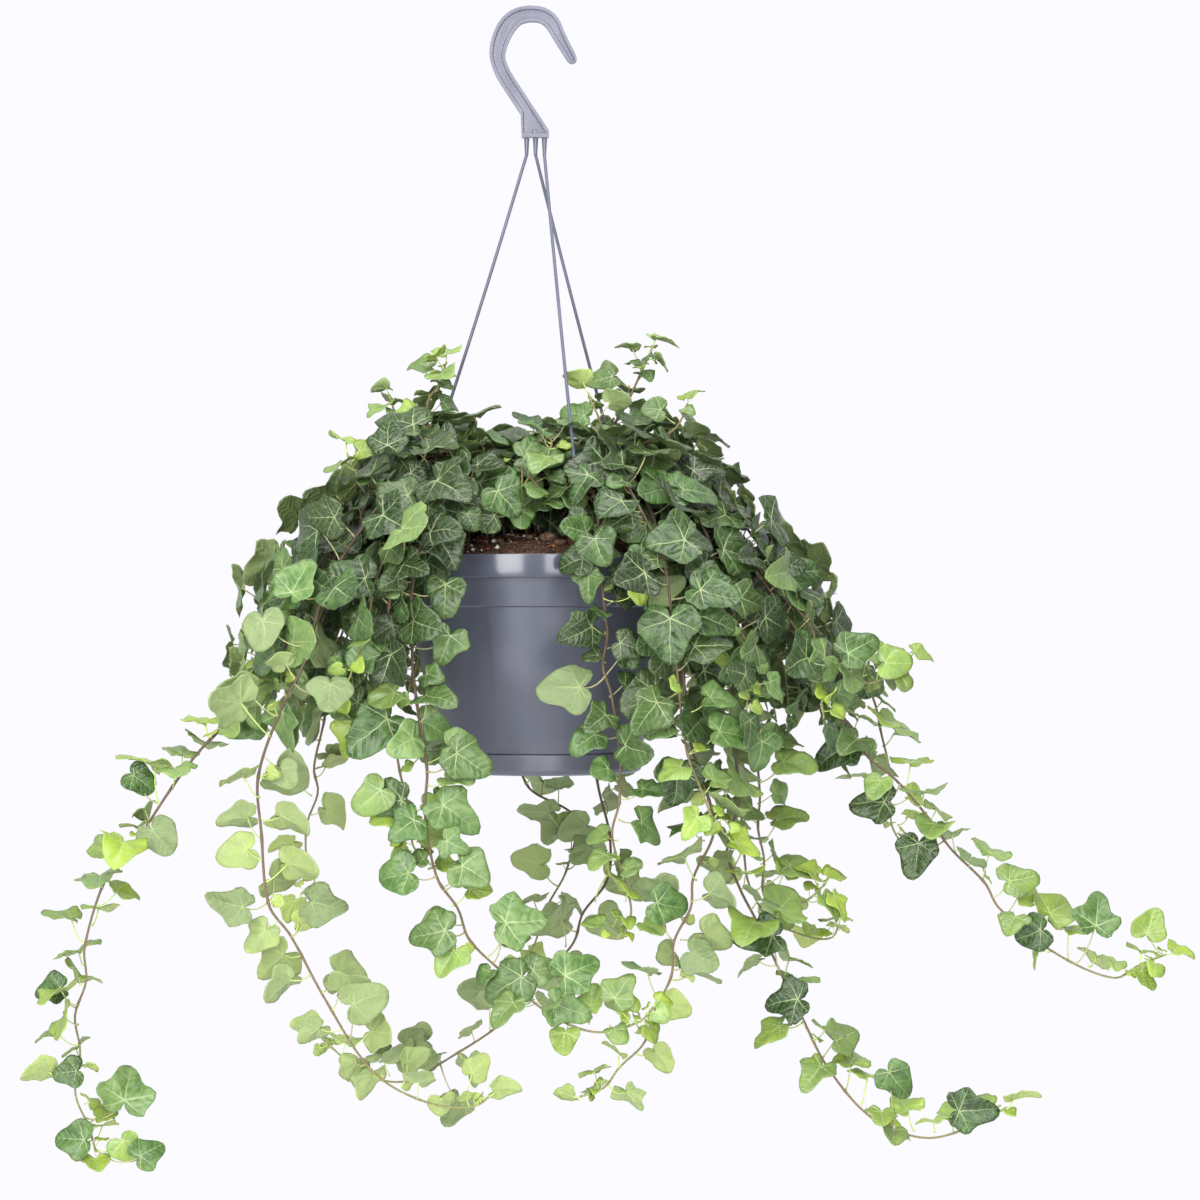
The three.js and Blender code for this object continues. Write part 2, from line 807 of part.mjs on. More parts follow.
function clearing() {
  const { left, right, top, bottom, near, far } = CLEARING;
  const corners = [near, far].flatMap((away) => [
    fromView(left, top, away),
    fromView(right, top, away),
    fromView(right, bottom, away),
    fromView(left, bottom, away),
  ]);
  const faces = [[0, 2, 1], [0, 3, 2], [4, 5, 6], [4, 6, 7]];
  for (let k = 0; k < 4; k += 1) {
    const next = (k + 1) % 4;
    faces.push([k, next, next + 4], [k, next + 4, k + 4]);
  }
  return solidFrom(corners, faces);
}

// Where along a stem its leaves stand: points in a slight zigzag, after the two in the soil's hole
function stemStops(stem) {
  const { crown, trailing } = LEAVES;
  const stops = [0, STEM.inSoil].map((distance) => ({
    distance,
    point: stem.route.at(distance),
    ahead: stem.route.along(distance),
  }));
  const end = stem.route.length - 1;
  const distances = [];
  let next = stem.first ?? crown.first;
  while (next < end - crown.every / 2) {
    distances.push(next);
    const hanging = stem.trailing && next > LEAVES.crownLength;
    next += stem.sprig ? SPRIG.every : hanging ? trailing.every : crown.every;
  }
  for (const distance of [...distances, end]) {
    const ahead = stem.route.along(distance);
    const point = stem.route.at(distance);
    const sideways = ahead.clone().cross(UP).normalize();
    point.addScaledVector(sideways, stops.length % 2 ? STEM.zigzag : -STEM.zigzag);
    stops.push({ distance, point, ahead });
  }
  return stops;
}

// One leaf: its stalk's ends and middle, and the blade's base, axes and width
function leafPlan(stem, stemIndex, leafIndex, stop, attempt) {
  const sway = (range, part) => either(range, stemIndex, leafIndex, attempt, part);
  const { point: joint, ahead, distance } = stop;
  const hanging = stem.trailing
    ? THREE.MathUtils.clamp((distance - LEAVES.crownLength) / LEAVES.hangsAfter, 0, 1)
    : 0;
  const outward = joint.clone().sub(DOME_CENTRE).normalize();
  const look = stem.facing && (stem.sprig || hanging > 0) ? stem.facing : outward;
  const normal = outward.clone().lerp(look, stem.sprig ? 1 : hanging);
  normal.add(new THREE.Vector3(sway(FACE.sway, 1), sway(FACE.sway, 2), sway(FACE.sway, 3)));
  normal.normalize();
  const side = leafIndex % 2 ? 1 : -1;
  const across = ahead.clone().cross(normal).normalize();
  const atTip = distance >= stem.route.length - 1;
  const share = atTip ? LEAN.atTip : LEAN.usual;
  const lean = across.multiplyScalar(side * share.across);
  lean.addScaledVector(normal, share.out + sway(LEAN.sway.out, 4));
  lean.addScaledVector(UP, share.up + sway(LEAN.sway.up, 5));
  lean.addScaledVector(ahead, share.ahead + sway(LEAN.sway.ahead, 6));
  lean.normalize();
  const kind = hanging > 0.5 || stem.sprig ? LEAVES.trailing : LEAVES.crown;
  const taper = stem.trailing ? TAPER.trailing : TAPER.crown;
  const young = 1 - taper.loss * (distance / stem.route.length) ** taper.power;
  const width = (kind.size + sway(kind.vary, 7)) * young * (stem.share ?? 1);
  const longer = STALK.spread * draw(stemIndex, leafIndex, attempt, 8);
  const stalk = width * (STALK.shortest + longer) * (atTip ? STALK.tipShare : 1);
  const base = joint.clone().addScaledVector(lean, stalk);
  const middle = joint.clone().addScaledVector(lean, stalk / 2);
  middle.addScaledVector(normal, -stalk * STALK.sag);
  const run = lean.clone().multiplyScalar(FACE.lean);
  run.addScaledVector(UP, -FACE.down * (1 - normal.z * FACE.level));
  run.addScaledVector(normal, -run.dot(normal)).normalize();
  const bent = hanging > 0 || stem.sprig;
  return { joint, middle, base, normal, run, across: run.clone().cross(normal), width, bent };
}

// Half of a blade's outline as shares of its width. A large one has a basal lobe, a side lobe and
// the bay beside the middle lobe; a small one has no separate basal lobe.
const LARGE_LOBES = [[0.3, -0.17], [0.5, 0.18], [0.22, 0.42]];
const SMALL_LOBES = [[0.48, -0.02], [0.19, 0.34]];
const MIDDLE_LOBE = 0.84;
const LARGE_FROM = 46;

// A blade, open at the three corners of its base where the stalk joins. Grown widens it all over.
function bladeMesh(leaf, grown) {
  const width = leaf.width + 2 * grown;
  const half = BLADE.thickness / 2 + grown;
  const place = (u, v, lift) => {
    const shape = width * (BLADE.fold * Math.abs(u) - BLADE.droop * v * Math.abs(v));
    return leaf.base.clone()
      .addScaledVector(leaf.across, u * width)
      .addScaledVector(leaf.run, v * width)
      .addScaledVector(leaf.normal, shape + lift);
  };
  const lobes = leaf.width < LARGE_FROM ? SMALL_LOBES : LARGE_LOBES;
  const rim = [...lobes, [0, MIDDLE_LOBE], ...lobes.map(([u, v]) => [-u, v]).reverse()];
  const edge = (STALK.radius + grown) / width;
  const upper = [[edge, 0], ...rim, [-edge, 0]].map(([u, v]) => place(u, v, half));
  const lower = [[0, BLADE.heel / width], ...rim].map(([u, v]) => place(u, v, -half));
  const points = [...upper, ...lower];
  const under = upper.length;
  const tip = lobes.length + 1;
  const end = under - 1;
  const faces = [[0, tip, end]];
  for (let i = 1; i < end - 1; i += 1) {
    faces.push([i < tip ? 0 : end, i, i + 1]);
    faces.push([under, under + i + 1, under + i]);
    faces.push([i, under + i, under + i + 1], [i, under + i + 1, i + 1]);
  }
  faces.push([0, under, under + 1], [0, under + 1, 1]);
  faces.push([end - 1, under + end - 1, under], [end - 1, under, end]);
  return { points, faces, ring: [0, end, under] };
}

// A blade and its stalk, open at the root: the triangle of the stem's surface that it grows from
function leafMesh(leaf, grown, root) {
  const slim = STALK.radius + grown;
  const { points, faces, ring: heel } = bladeMesh(leaf, grown);
  let ring = heel;
  const addRing = (corners) => {
    const first = points.length;
    points.push(...corners);
    for (let k = 0; k < 3; k += 1) {
      const next = (k + 1) % 3;
      faces.push(...partedQuad(points, [ring[k], ring[next], first + next, first + k]));
    }
    ring = [first, first + 1, first + 2];
  };
  if (leaf.bent) {
    const run = leaf.base.clone().sub(leaf.middle).normalize();
    const level = leaf.across.clone().addScaledVector(run, -leaf.across.dot(run)).normalize();
    const above = level.clone().cross(run);
    const section = [[1, STALK.ridge], [-1, STALK.ridge], [0, -1]];
    addRing(section.map(([side, rise]) => leaf.middle.clone()
      .addScaledVector(level, slim * side)
      .addScaledVector(above, slim * rise)));
  }
  addRing(nearestTurn(root, ring.map((corner) => points[corner])));
  return { points, faces, ring };
}

function closedSolid({ points, faces, ring }) {
  return solidFrom(points, [...faces, ring]);
}

// The three corners in the turn that lies nearest to the ring they are joined to
function nearestTurn(corners, ring) {
  const turns = [0, 1, 2].map((shift) => [0, 1, 2].map((k) => corners[(k + shift) % 3]));
  const reach = (turn) => turn.reduce((sum, corner, k) => sum + corner.distanceToSquared(ring[k]), 0);
  return turns.sort((a, b) => reach(a) - reach(b))[0];
}

// Four corners as two triangles, parted along the diagonal that leaves the surface convex
function partedQuad(points, [a, b, c, d]) {
  const normal = points[b].clone().sub(points[a]).cross(points[c].clone().sub(points[a]));
  const convex = points[d].clone().sub(points[a]).dot(normal) <= 0;
  return convex ? [[a, b, c], [a, c, d]] : [[a, b, d], [b, c, d]];
}

function stemRings(stem, stops) {
  const level = new THREE.Vector3(1, 0, 0);
  const turning = new THREE.Quaternion();
  let before = UP;
  return stops.flatMap(({ point, ahead, distance }) => {
    level.applyQuaternion(turning.setFromUnitVectors(before, ahead)).normalize();
    before = ahead;
    const above = ahead.clone().cross(level);
    const share = distance / stem.route.length;
    const radius = STEM.rootRadius + (STEM.tipRadius - STEM.rootRadius) * share;
    const corners = [];
    for (let side = 0; side < STEM.sides; side += 1) {
      const turn = (side / STEM.sides) * Math.PI * 2;
      corners.push(
        point.clone()
          .addScaledVector(level, Math.cos(turn) * radius)
          .addScaledVector(above, Math.sin(turn) * radius),
      );
    }
    return corners;
  });
}

// The triangle that a leaf's stalk grows from: the stem's end, or the part just past the joint of
// the side that faces the stalk. Rise says how steeply the stalk leaves it.
function stalkRoot(corners, ring, leaf) {
  const { sides } = STEM;
  if (ring === corners.length / sides - 1) {
    return { rise: 1, root: corners.slice(-sides).reverse() };
  }
  const towards = leaf.middle.clone().sub(leaf.joint).normalize();
  const choices = [];
  for (let side = 0; side < sides; side += 1) {
    const a = corners[ring * sides + side];
    const b = corners[ring * sides + ((side + 1) % sides)];
    const c = corners[(ring + 1) * sides + ((side + 1) % sides)];
    const d = corners[(ring + 1) * sides + side];
    const outward = b.clone().sub(a).cross(d.clone().sub(a)).normalize();
    const near = a.clone().lerp(b, 0.5);
    const far = c.clone().lerp(d, 0.5);
    const seat = near.clone().lerp(far, STEM.stalkSeat / near.distanceTo(far));
    choices.push({ side, rise: outward.dot(towards), root: [seat, b, a] });
  }
  return choices.sort((p, q) => q.rise - p.rise)[0];
}

// Whether the stalk comes to a large blade from between its basal lobes
function meetsNotch(leaf) {
  const along = leaf.base.clone().sub(leaf.bent ? leaf.middle : leaf.joint);
  return leaf.width < LARGE_FROM || Math.abs(along.dot(leaf.across)) < along.dot(leaf.run);
}

// The stem with its leaves as one closed surface
function leafyStem(corners, leaves) {
  const { sides } = STEM;
  const points = [...corners];
  const faces = [];
  const attach = (leaf, root) => {
    const rooted = leafMesh(leaf, 0, root);
    const first = points.length;
    points.push(...rooted.points);
    faces.push(...rooted.faces.map((face) => face.map((corner) => corner + first)));
  };
  for (let side = 1; side < sides - 1; side += 1) {
    faces.push([0, side + 1, side]);
  }
  const last = leaves.length - 1;
  for (let ring = 0; ring < last; ring += 1) {
    const leaf = leaves[ring];
    const chosen = leaf && stalkRoot(corners, ring, leaf);
    for (let side = 0; side < sides; side += 1) {
      const a = ring * sides + side;
      const b = ring * sides + ((side + 1) % sides);
      const c = b + sides;
      const d = a + sides;
      if (side !== chosen?.side) {
        faces.push([a, b, c], [a, c, d]);
        continue;
      }
      const seat = points.length;
      points.push(chosen.root[0]);
      faces.push([a, seat, d], [seat, c, d], [seat, b, c]);
      attach(leaf, chosen.root);
    }
  }
  if (leaves[last]) {
    attach(leaves[last], stalkRoot(corners, last, leaves[last]).root);
  } else {
    const end = last * sides;
    faces.push([end, end + 1, end + 2]);
  }
  return mergedSolid(points, faces);
}

function boxOf(points) {
  return new THREE.Box3().setFromPoints(points);
}

function crosses(mesh, obstacles) {
  const box = boxOf(mesh.points);
  const near = obstacles.filter((obstacle) => obstacle.box.intersectsBox(box));
  if (near.length === 0) {
    return false;
  }
  const solid = closedSolid(mesh);
  const touching = near.some((obstacle) => {
    const shared = solid.intersect(obstacle.solid);
    const meets = !shared.isEmpty();
    shared.delete();
    return meets;
  });
  solid.delete();
  return touching;
}

// Grows all stems, then gives each its leaves: a leaf is turned until it is clear of the rest
function growIvy(stems, fixtures) {
  const around = fixtures.map((solid) => {
    const { min, max } = solid.boundingBox();
    const box = new THREE.Box3(new THREE.Vector3(...min), new THREE.Vector3(...max));
    return { solid, box };
  });
  const allStops = stems.map(stemStops);
  const bare = stems.map((stem, owner) => {
    const corners = stemRings(stem, allStops[owner]);
    const solid = solidFrom(corners, tubeFaces(allStops[owner].length, STEM.sides));
    return { solid, box: boxOf(corners), corners };
  });
  return stems.map((stem, owner) => {
    const stops = allStops[owner];
    const own = bare[owner];
    const others = bare.filter((stemAlone) => stemAlone !== own);
    const leaves = stops.map((stop, index) => {
      for (let attempt = 0; index > 1 && attempt < LEAVES.tries; attempt += 1) {
        const leaf = leafPlan(stem, owner, index, stop, attempt);
        const { rise, root } = stalkRoot(own.corners, index, leaf);
        if (
          rise > STEM.leastRise
          && meetsNotch(leaf)
          && !crosses(leafMesh(leaf, BLADE.clearance, root), [...around, ...others])
          && !crosses(bladeMesh(leaf, BLADE.clearance), [own])
        ) {
          const mesh = leafMesh(leaf, 0, root);
          around.push({ solid: closedSolid(mesh), box: boxOf(mesh.points) });
          return leaf;
        }
      }
      return null;
    });
    return leafyStem(own.corners, leaves);
  });
}

// Assembly
const colours = {
  hook: ['#a3a6b8', 0.42],
  strand: ['#868a9b', 0.45],
  pot: ['#5f626d', 0.38],
  saucer: ['#5a5d68', 0.42],
  soil: ['#4a2f26', 0.95],
  crown: ['#38602f', 0.5],
  trailing: ['#5f8a43', 0.52],
};

function named(name, solid, [colour, roughness]) {
  const material = new THREE.MeshStandardMaterial({ color: colour, roughness, metalness: 0 });
  const mesh = new THREE.Mesh(geometryFrom(solid), material);
  mesh.name = name;
  return mesh;
}

const stems = [...trailingStems(), ...crownShoots(), ...topShoots(), ...sprigs()];
const strands = STRAND.tops.map((top, i) => strandSolid(top, STRAND.firstAzimuth + 120 * i));
const pot = potSolid();
const soil = soilSolid(stems.map((stem) => stem.root));
const saucer = saucerSolid();
const leafy = growIvy(stems, [pot, saucer, soil, ...strands, clearing()]);

const ivy = new THREE.Group();
ivy.add(named('hanger_hook', hookSolid(), colours.hook));
strands.forEach((strand, i) => ivy.add(named(`hanger_strand_${i + 1}`, strand, colours.strand)));
ivy.add(named('pot', pot, colours.pot));
ivy.add(named('saucer', saucer, colours.saucer));
ivy.add(named('soil', soil, colours.soil));
stems.forEach((stem, i) => {
  ivy.add(named(stem.name, leafy[i], stem.trailing ? colours.trailing : colours.crown));
});

export default ivy;
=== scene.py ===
"""English ivy in a hanging pot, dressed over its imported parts. Metres, +Z up, +Y away from the viewer."""

import math

import bmesh
import bpy
import numpy as np
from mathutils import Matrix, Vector, noise
from mathutils.bvhtree import BVHTree
from mathutils.kdtree import KDTree


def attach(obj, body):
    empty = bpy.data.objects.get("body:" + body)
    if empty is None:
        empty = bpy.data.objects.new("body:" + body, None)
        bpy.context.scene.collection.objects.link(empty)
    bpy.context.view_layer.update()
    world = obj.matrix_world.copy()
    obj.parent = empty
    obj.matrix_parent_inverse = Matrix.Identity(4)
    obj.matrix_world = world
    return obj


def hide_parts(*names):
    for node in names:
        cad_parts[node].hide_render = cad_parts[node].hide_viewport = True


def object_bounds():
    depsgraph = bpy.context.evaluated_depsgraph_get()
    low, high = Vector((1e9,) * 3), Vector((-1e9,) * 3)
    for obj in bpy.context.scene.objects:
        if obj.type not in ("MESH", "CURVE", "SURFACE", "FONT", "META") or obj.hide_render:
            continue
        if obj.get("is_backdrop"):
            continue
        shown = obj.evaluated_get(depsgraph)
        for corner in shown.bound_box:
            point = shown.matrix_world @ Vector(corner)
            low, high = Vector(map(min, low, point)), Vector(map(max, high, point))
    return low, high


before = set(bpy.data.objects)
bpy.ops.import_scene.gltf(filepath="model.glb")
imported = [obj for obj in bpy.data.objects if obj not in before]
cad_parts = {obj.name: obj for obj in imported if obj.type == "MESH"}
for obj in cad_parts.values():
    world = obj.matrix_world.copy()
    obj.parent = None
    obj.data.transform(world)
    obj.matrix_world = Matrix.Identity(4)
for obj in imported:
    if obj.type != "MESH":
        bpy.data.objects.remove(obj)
CAD_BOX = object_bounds()

# Sizes in millimetres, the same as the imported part's
MM = 0.001
GAP = 0.3
SEED = 20271
ROUND = 144

POT_X = 9.0
RIM_TOP = -444.6
RIM_RADIUS = 125.0
POT_WALL = 1.8
BAND_DEPTH = 18.7
BAND_STEP = 7.0
LEDGE_DEPTH = 42.0
LEDGE_RADIUS = 112.4
LEDGE_STEP = 1.4
BODY_DEPTH = 162.4
BODY_RADIUS = 83.6
NECK_RADIUS = 79.4
BEAD_RADIUS = 81.0
FOOT_DEPTH = 171.9
POT_FLOOR = 2.0
LIP_LEAN = 0.8
CORNER_RISE = 1.4
BEAD_CHAMFER = 1.4
BEAD_BOTTOM = 3.8
BEAD_TOP = 5.2
BEAD_END = 6.3
DRAIN_HOLES = 4
DRAIN_RADIUS = 4.0
DRAIN_CIRCLE = 50.0

SAUCER_DEPTH = 180.0
SAUCER_RADIUS = 84.6
SAUCER_FOOT = 79.0
SAUCER_SHOULDERS = ((82.2, 1.4), (84, 4.5))
SAUCER_LIP = 79.8
SAUCER_LIP_DEPTH = 2.2
SAUCER_INNER = 81.5
SAUCER_FLOOR = 2.0
SAUCER_RIB = 64.0
SAUCER_RIB_WIDTH = 3.0

SOIL_TOP = ((0, 18.0), (42, 15.84), (80, 10.8), (104, 2.0), (115.2, -9.0))
SOIL_HOLE = 12.0

HOOK_THICKNESS = 6.8
HOOK_WEB = 3.2
HOOK_RIB = 2.7
RIB_SHARE = 0.6
RIB_SLOPE = 0.8
FOOT_BOTTOM = -96.5

STRAND_RADIUS = 1.35
STRAND_NECK = 2.3
STRAND_NECK_LENGTH = 15.0
HEAD_WIDTH = 4.4
HEAD_HEIGHT = 1.8
HEAD_LIFT = 1.6
STRAND_STRAIGHT = 14.0
STRAND_BOW = 2.0
STRAND_TOPS = (-3.2, 11.6, 4.2)
FIRST_STRAND = 167
CLIP_WIDTH = 10.0
CLIP_WALL = 2.3
CLIP_HEIGHT = 5.0
CLIP_REACH = 5.8
CLIP_SLANT = 1.4
CLIP_HOOK = 2.2
CLIP_GRIP = 0.9
CLIP_BEVEL = 3.0

STEM_ROOT = 1.8
STEM_TIP = 0.95
ZIGZAG = 1.2
PACKED_THICKNESS = 0.7
BLADE_THICKNESS = 0.44
BLADE_FOLD = 0.2
BLADE_DROOP = 0.22
MIDDLE_LOBE = 0.84
STALK_SAG = 0.12
DOME_CENTRE = np.array((POT_X, 0, -570.0))
UP = np.array((0, 0, 1.0))

# The view that the stems' routes were read from: a pixel and a distance behind the hook give a point
VIEW_PIXELS = 1200
VIEW_SCALE = 250 / 300
VIEW_SEAT = (530.5, 22)
VIEW_CENTRE = (VIEW_PIXELS / 2, VIEW_PIXELS / 2)
VIEW_DISTANCE = 3000


def from_view(across, down, away):
    scale = VIEW_SCALE * (VIEW_DISTANCE + away) / VIEW_DISTANCE
    return np.array((
        (VIEW_CENTRE[0] - VIEW_SEAT[0]) * VIEW_SCALE + (across - VIEW_CENTRE[0]) * scale,
        away,
        (VIEW_SEAT[1] - VIEW_CENTRE[1]) * VIEW_SCALE - (down - VIEW_CENTRE[1]) * scale,
    ))


def around_pot(radius, azimuth, height):
    turn = math.radians(azimuth)
    return np.array((POT_X + radius * math.cos(turn), radius * math.sin(turn), height))


def azimuth_of(point):
    return math.degrees(math.atan2(point[1], point[0] - POT_X))


def unit(vector):
    return vector / np.linalg.norm(vector)


def clamped(value):
    return min(max(value, 0), 1)


def draw(*keys):
    """A seeded number from 0 to 1: the same keys always give the same one."""
    mix = SEED
    for key in keys:
        mix = ((mix ^ (key + 1)) * 0x9E3779B1) & 0xFFFFFFFF
        mix ^= mix >> 15
        mix = (mix * 0x85EBCA6B) & 0xFFFFFFFF
        mix ^= mix >> 13
    return mix / 2**32


def either(reach, *keys):
    return (draw(*keys) * 2 - 1) * reach


# Materials


def linear(colour, alpha=1.0):
    """A colour written as sRGB hex, as the linear numbers that a shader takes."""
    parts = [int(colour[i:i + 2], 16) / 255 for i in (1, 3, 5)]
    return [p / 12.92 if p <= 0.04045 else ((p + 0.055) / 1.055) ** 2.4 for p in parts] + [alpha]


def add(tree, kind, *feeds, into=None, **settings):
    """A shader node with its settings, and its inputs fed with values, or with other nodes."""
    node = tree.nodes.new("ShaderNode" + kind)
    for name, value in settings.items():
        setattr(node, name, value)
    for key, value in [*enumerate(feeds), *(into or {}).items()]:
        if hasattr(value, "outputs"):
            value = value.outputs[0]
        if hasattr(value, "links"):
            tree.links.new(value, node.inputs[key])
        elif value is not None:
            node.inputs[key].default_value = value
    return node


def ramp(tree, factor, *stops):
    """Colours blended along a factor, each stop a place and a hex colour."""
    node = add(tree, "ValToRGB", factor)
    band = node.color_ramp
    while len(band.elements) < len(stops):
        band.elements.new(0.5)
    for element, (place, colour) in zip(band.elements, stops):
        element.position = place
        element.color = linear(colour)
    return node


def material(name):
    made = bpy.data.materials.new(name)
    made.use_nodes = True
    made.node_tree.nodes.clear()
    return made, made.node_tree


def surface(tree, shader):
    output = tree.nodes.new("ShaderNodeOutputMaterial")
    tree.links.new(shader.outputs[0], output.inputs[0])


def moulded(name, dark, light, roughness, grain_mm, streak_mm, depth, polished=0.0):
    """Polypropylene, injection moulded: a satin skin with flow streaks and a fine grain, and
    glossier by the polished share from the lower edge of the rim's band upwards."""
    made, tree = material(name)
    place = add(tree, "TexCoord").outputs["Object"]
    flow = add(tree, "Mapping", place, into={"Scale": (1, 1, 0.3)})
    streaks = add(tree, "TexNoise", flow, into={"Scale": 1 / (streak_mm * MM), "Detail": 2})
    grain = add(tree, "TexNoise", place, into={"Scale": 1 / (grain_mm * MM), "Detail": 2})
    colour = ramp(tree, streaks, (0.3, dark), (0.7, light))
    gloss = add(tree, "MapRange", streaks, 0.3, 0.7, roughness - 0.03, roughness + 0.05)
    height = add(tree, "SeparateXYZ", place).outputs[2]
    edge = (RIM_TOP - BAND_DEPTH) * MM
    shine = add(tree, "MapRange", height, edge - 2 * MM, edge + MM, 0.0, polished)
    gloss = add(tree, "Math", gloss, shine, operation="SUBTRACT")
    bump = add(tree, "Bump", into={"Height": grain, "Strength": 0.2, "Distance": depth * MM})
    shader = add(tree, "BsdfPrincipled", into={
        "Base Color": colour, "Roughness": gloss, "IOR": 1.49, "Normal": bump,
    })
    surface(tree, shader)
    return made


def strongest(tree, masks):
    best = masks[0]
    for mask in masks[1:]:
        best = add(tree, "Math", best, mask, operation="MAXIMUM")
    return best


# A blade's main veins: the angle from its tip, and how far each reaches as a share of the width
MAIN_VEINS = ((0, 0.80), (66, 0.54), (119, 0.40))
SIDE_VEINS = 6.2


def leaf_veins(tree, place, tint):
    """Main veins that run from the leaf's base to its lobes, and the side veins off them."""
    split = add(tree, "SeparateXYZ", place)
    half = add(tree, "Math", split.outputs[0], operation="ABSOLUTE")
    v = split.outputs[1]
    mains, sides, puffs = [], [], []
    for angle, reach in MAIN_VEINS:
        run, rise = math.sin(math.radians(angle)), math.cos(math.radians(angle))
        along = add(
            tree, "Math", half, run, add(tree, "Math", v, rise, operation="MULTIPLY"),
            operation="MULTIPLY_ADD",
        )
        off = add(
            tree, "Math", half, rise, add(tree, "Math", v, -run, operation="MULTIPLY"),
            operation="MULTIPLY_ADD",
        )
        off = add(tree, "Math", off, operation="ABSOLUTE")
        width = add(tree, "MapRange", along, 0.0, reach, 0.018, 0.004)
        line = add(tree, "Math", off, width, operation="DIVIDE")
        line = add(tree, "MapRange", line, 0.3, 1.2, 1.0, 0.0)
        ahead = add(tree, "Math", along, 0.0, operation="GREATER_THAN")
        mains.append(add(tree, "Math", line, ahead, operation="MULTIPLY"))
        slant = add(tree, "Math", off, -0.75, along, operation="MULTIPLY_ADD")
        phase = add(tree, "Math", slant, SIDE_VEINS, tint, operation="MULTIPLY_ADD")
        phase = add(tree, "Math", phase, operation="FRACT")
        phase = add(tree, "Math", phase, 0.5, operation="SUBTRACT")
        phase = add(tree, "Math", phase, operation="ABSOLUTE")
        branch = add(tree, "MapRange", phase, 0.0, 0.06, 1.0, 0.0)
        fade = add(tree, "Math", off, along, operation="DIVIDE")
        fade = add(tree, "MapRange", fade, 0.25, 0.95, 1.0, 0.0)
        fade = add(tree, "Math", fade, ahead, operation="MULTIPLY")
        sides.append(add(tree, "Math", branch, fade, operation="MULTIPLY"))
        puffs.append(add(tree, "Math", phase, fade, operation="MULTIPLY"))
    return strongest(tree, mains), strongest(tree, sides), strongest(tree, puffs)


def ivy_blade(name, upper):
    """Ivy leaf skin. Above it is waxy and dark with pale veins; below it is pale and matt."""
    made, tree = material(name)
    place = add(tree, "Attribute", attribute_name="leaf").outputs["Vector"]
    hue = add(tree, "SeparateXYZ", place).outputs[2]
    life = add(tree, "SeparateXYZ", add(tree, "Attribute", attribute_name="life").outputs["Vector"])
    age, tint, size = life.outputs
    world = add(tree, "TexCoord").outputs["Object"]
    # Veins wander a little from straight lines
    sway = add(tree, "TexNoise", world, into={"Scale": 1 / (16 * MM), "Detail": 1})
    sway = add(tree, "VectorMath", sway.outputs["Color"], (0.5, 0.5, 0.5), operation="SUBTRACT")
    sway = add(tree, "VectorMath", sway, into={"Scale": 0.11}, operation="SCALE")
    place = add(tree, "VectorMath", place, sway, operation="ADD")
    main, side, puff = leaf_veins(tree, place, tint)
    warp = add(tree, "TexNoise", world, into={"Scale": 1 / (9 * MM), "Detail": 1.5})
    # The net between the veins is about 1 mm wide on a real blade, drawn three times as coarse to show
    net = add(tree, "TexVoronoi", world, into={"Scale": 1 / (3.0 * MM)}, feature="DISTANCE_TO_EDGE")
    net = add(tree, "MapRange", net, 0.0, 0.16, 1.0, 0.0)
    if upper:
        stops = [(0.0, "#13270f"), (0.22, "#254219"), (0.42, "#507338"), (0.6, "#789457"),
                 (0.8, "#89a54e"), (1.0, "#9bb440")]
        olive, vein, vein_share, sheen = "#4a5a30", "#b6c68e", 0.66, 0.3
    else:
        stops = [(0.0, "#66784d"), (0.4, "#7d8f61"), (0.75, "#93a56c"), (1.0, "#a9bb66")]
        olive, vein, vein_share, sheen = "#8b9a58", "#b9cc8c", 0.5, 0.55
    shade = add(tree, "Math", tint, 0.26, age, operation="MULTIPLY_ADD")
    shade = add(tree, "Math", shade, 0.13, operation="SUBTRACT")
    mottle = add(tree, "MapRange", warp, 0.3, 0.7, -0.09, 0.09)
    shade = add(tree, "Math", shade, mottle, operation="ADD")
    skin = ramp(tree, shade, *stops)
    dull = add(tree, "MapRange", hue, 0.45, 1.0, 0.0, 0.5)
    skin = add(tree, "Mix", dull, into={6: skin, 7: linear(olive)}, data_type="RGBA")
    old = add(tree, "MapRange", age, 0.1, 0.7, 0.16, 0.04)
    faint = add(tree, "Math", net, old, operation="MULTIPLY")
    veins = add(tree, "Math", side, 0.62, operation="MULTIPLY")
    veins = strongest(tree, [main, veins, faint])
    share = add(tree, "Math", veins, vein_share, operation="MULTIPLY")
    colour = add(tree, "Mix", share, into={6: skin.outputs[2], 7: linear(vein)}, data_type="RGBA")
    colour = colour.outputs[2]
    height = add(tree, "Math", veins, -0.4 if upper else 0.7, warp, operation="MULTIPLY_ADD")
    height = add(tree, "Math", puff, 1.1 if upper else -1.3, height, operation="MULTIPLY_ADD")
    depth = add(tree, "MapRange", age, 0.2, 0.8, 0.8, 0.3)
    relief = add(tree, "Math", size, 0.9 * MM, operation="MULTIPLY")
    bump = add(tree, "Bump", into={"Height": height, "Strength": depth, "Distance": relief})
    gloss = add(tree, "MapRange", warp, 0.3, 0.7, sheen - 0.05, sheen + 0.1)
    skin = add(tree, "BsdfPrincipled", into={
        "Base Color": colour, "Roughness": gloss, "IOR": 1.48, "Normal": bump,
    })
    glow = add(tree, "Mix", 0.4, into={6: colour, 7: linear("#adc357")}, data_type="RGBA")
    through = add(tree, "BsdfTranslucent", glow.outputs[2])
    surface(tree, add(tree, "MixShader", 0.2, skin, through))
    return made


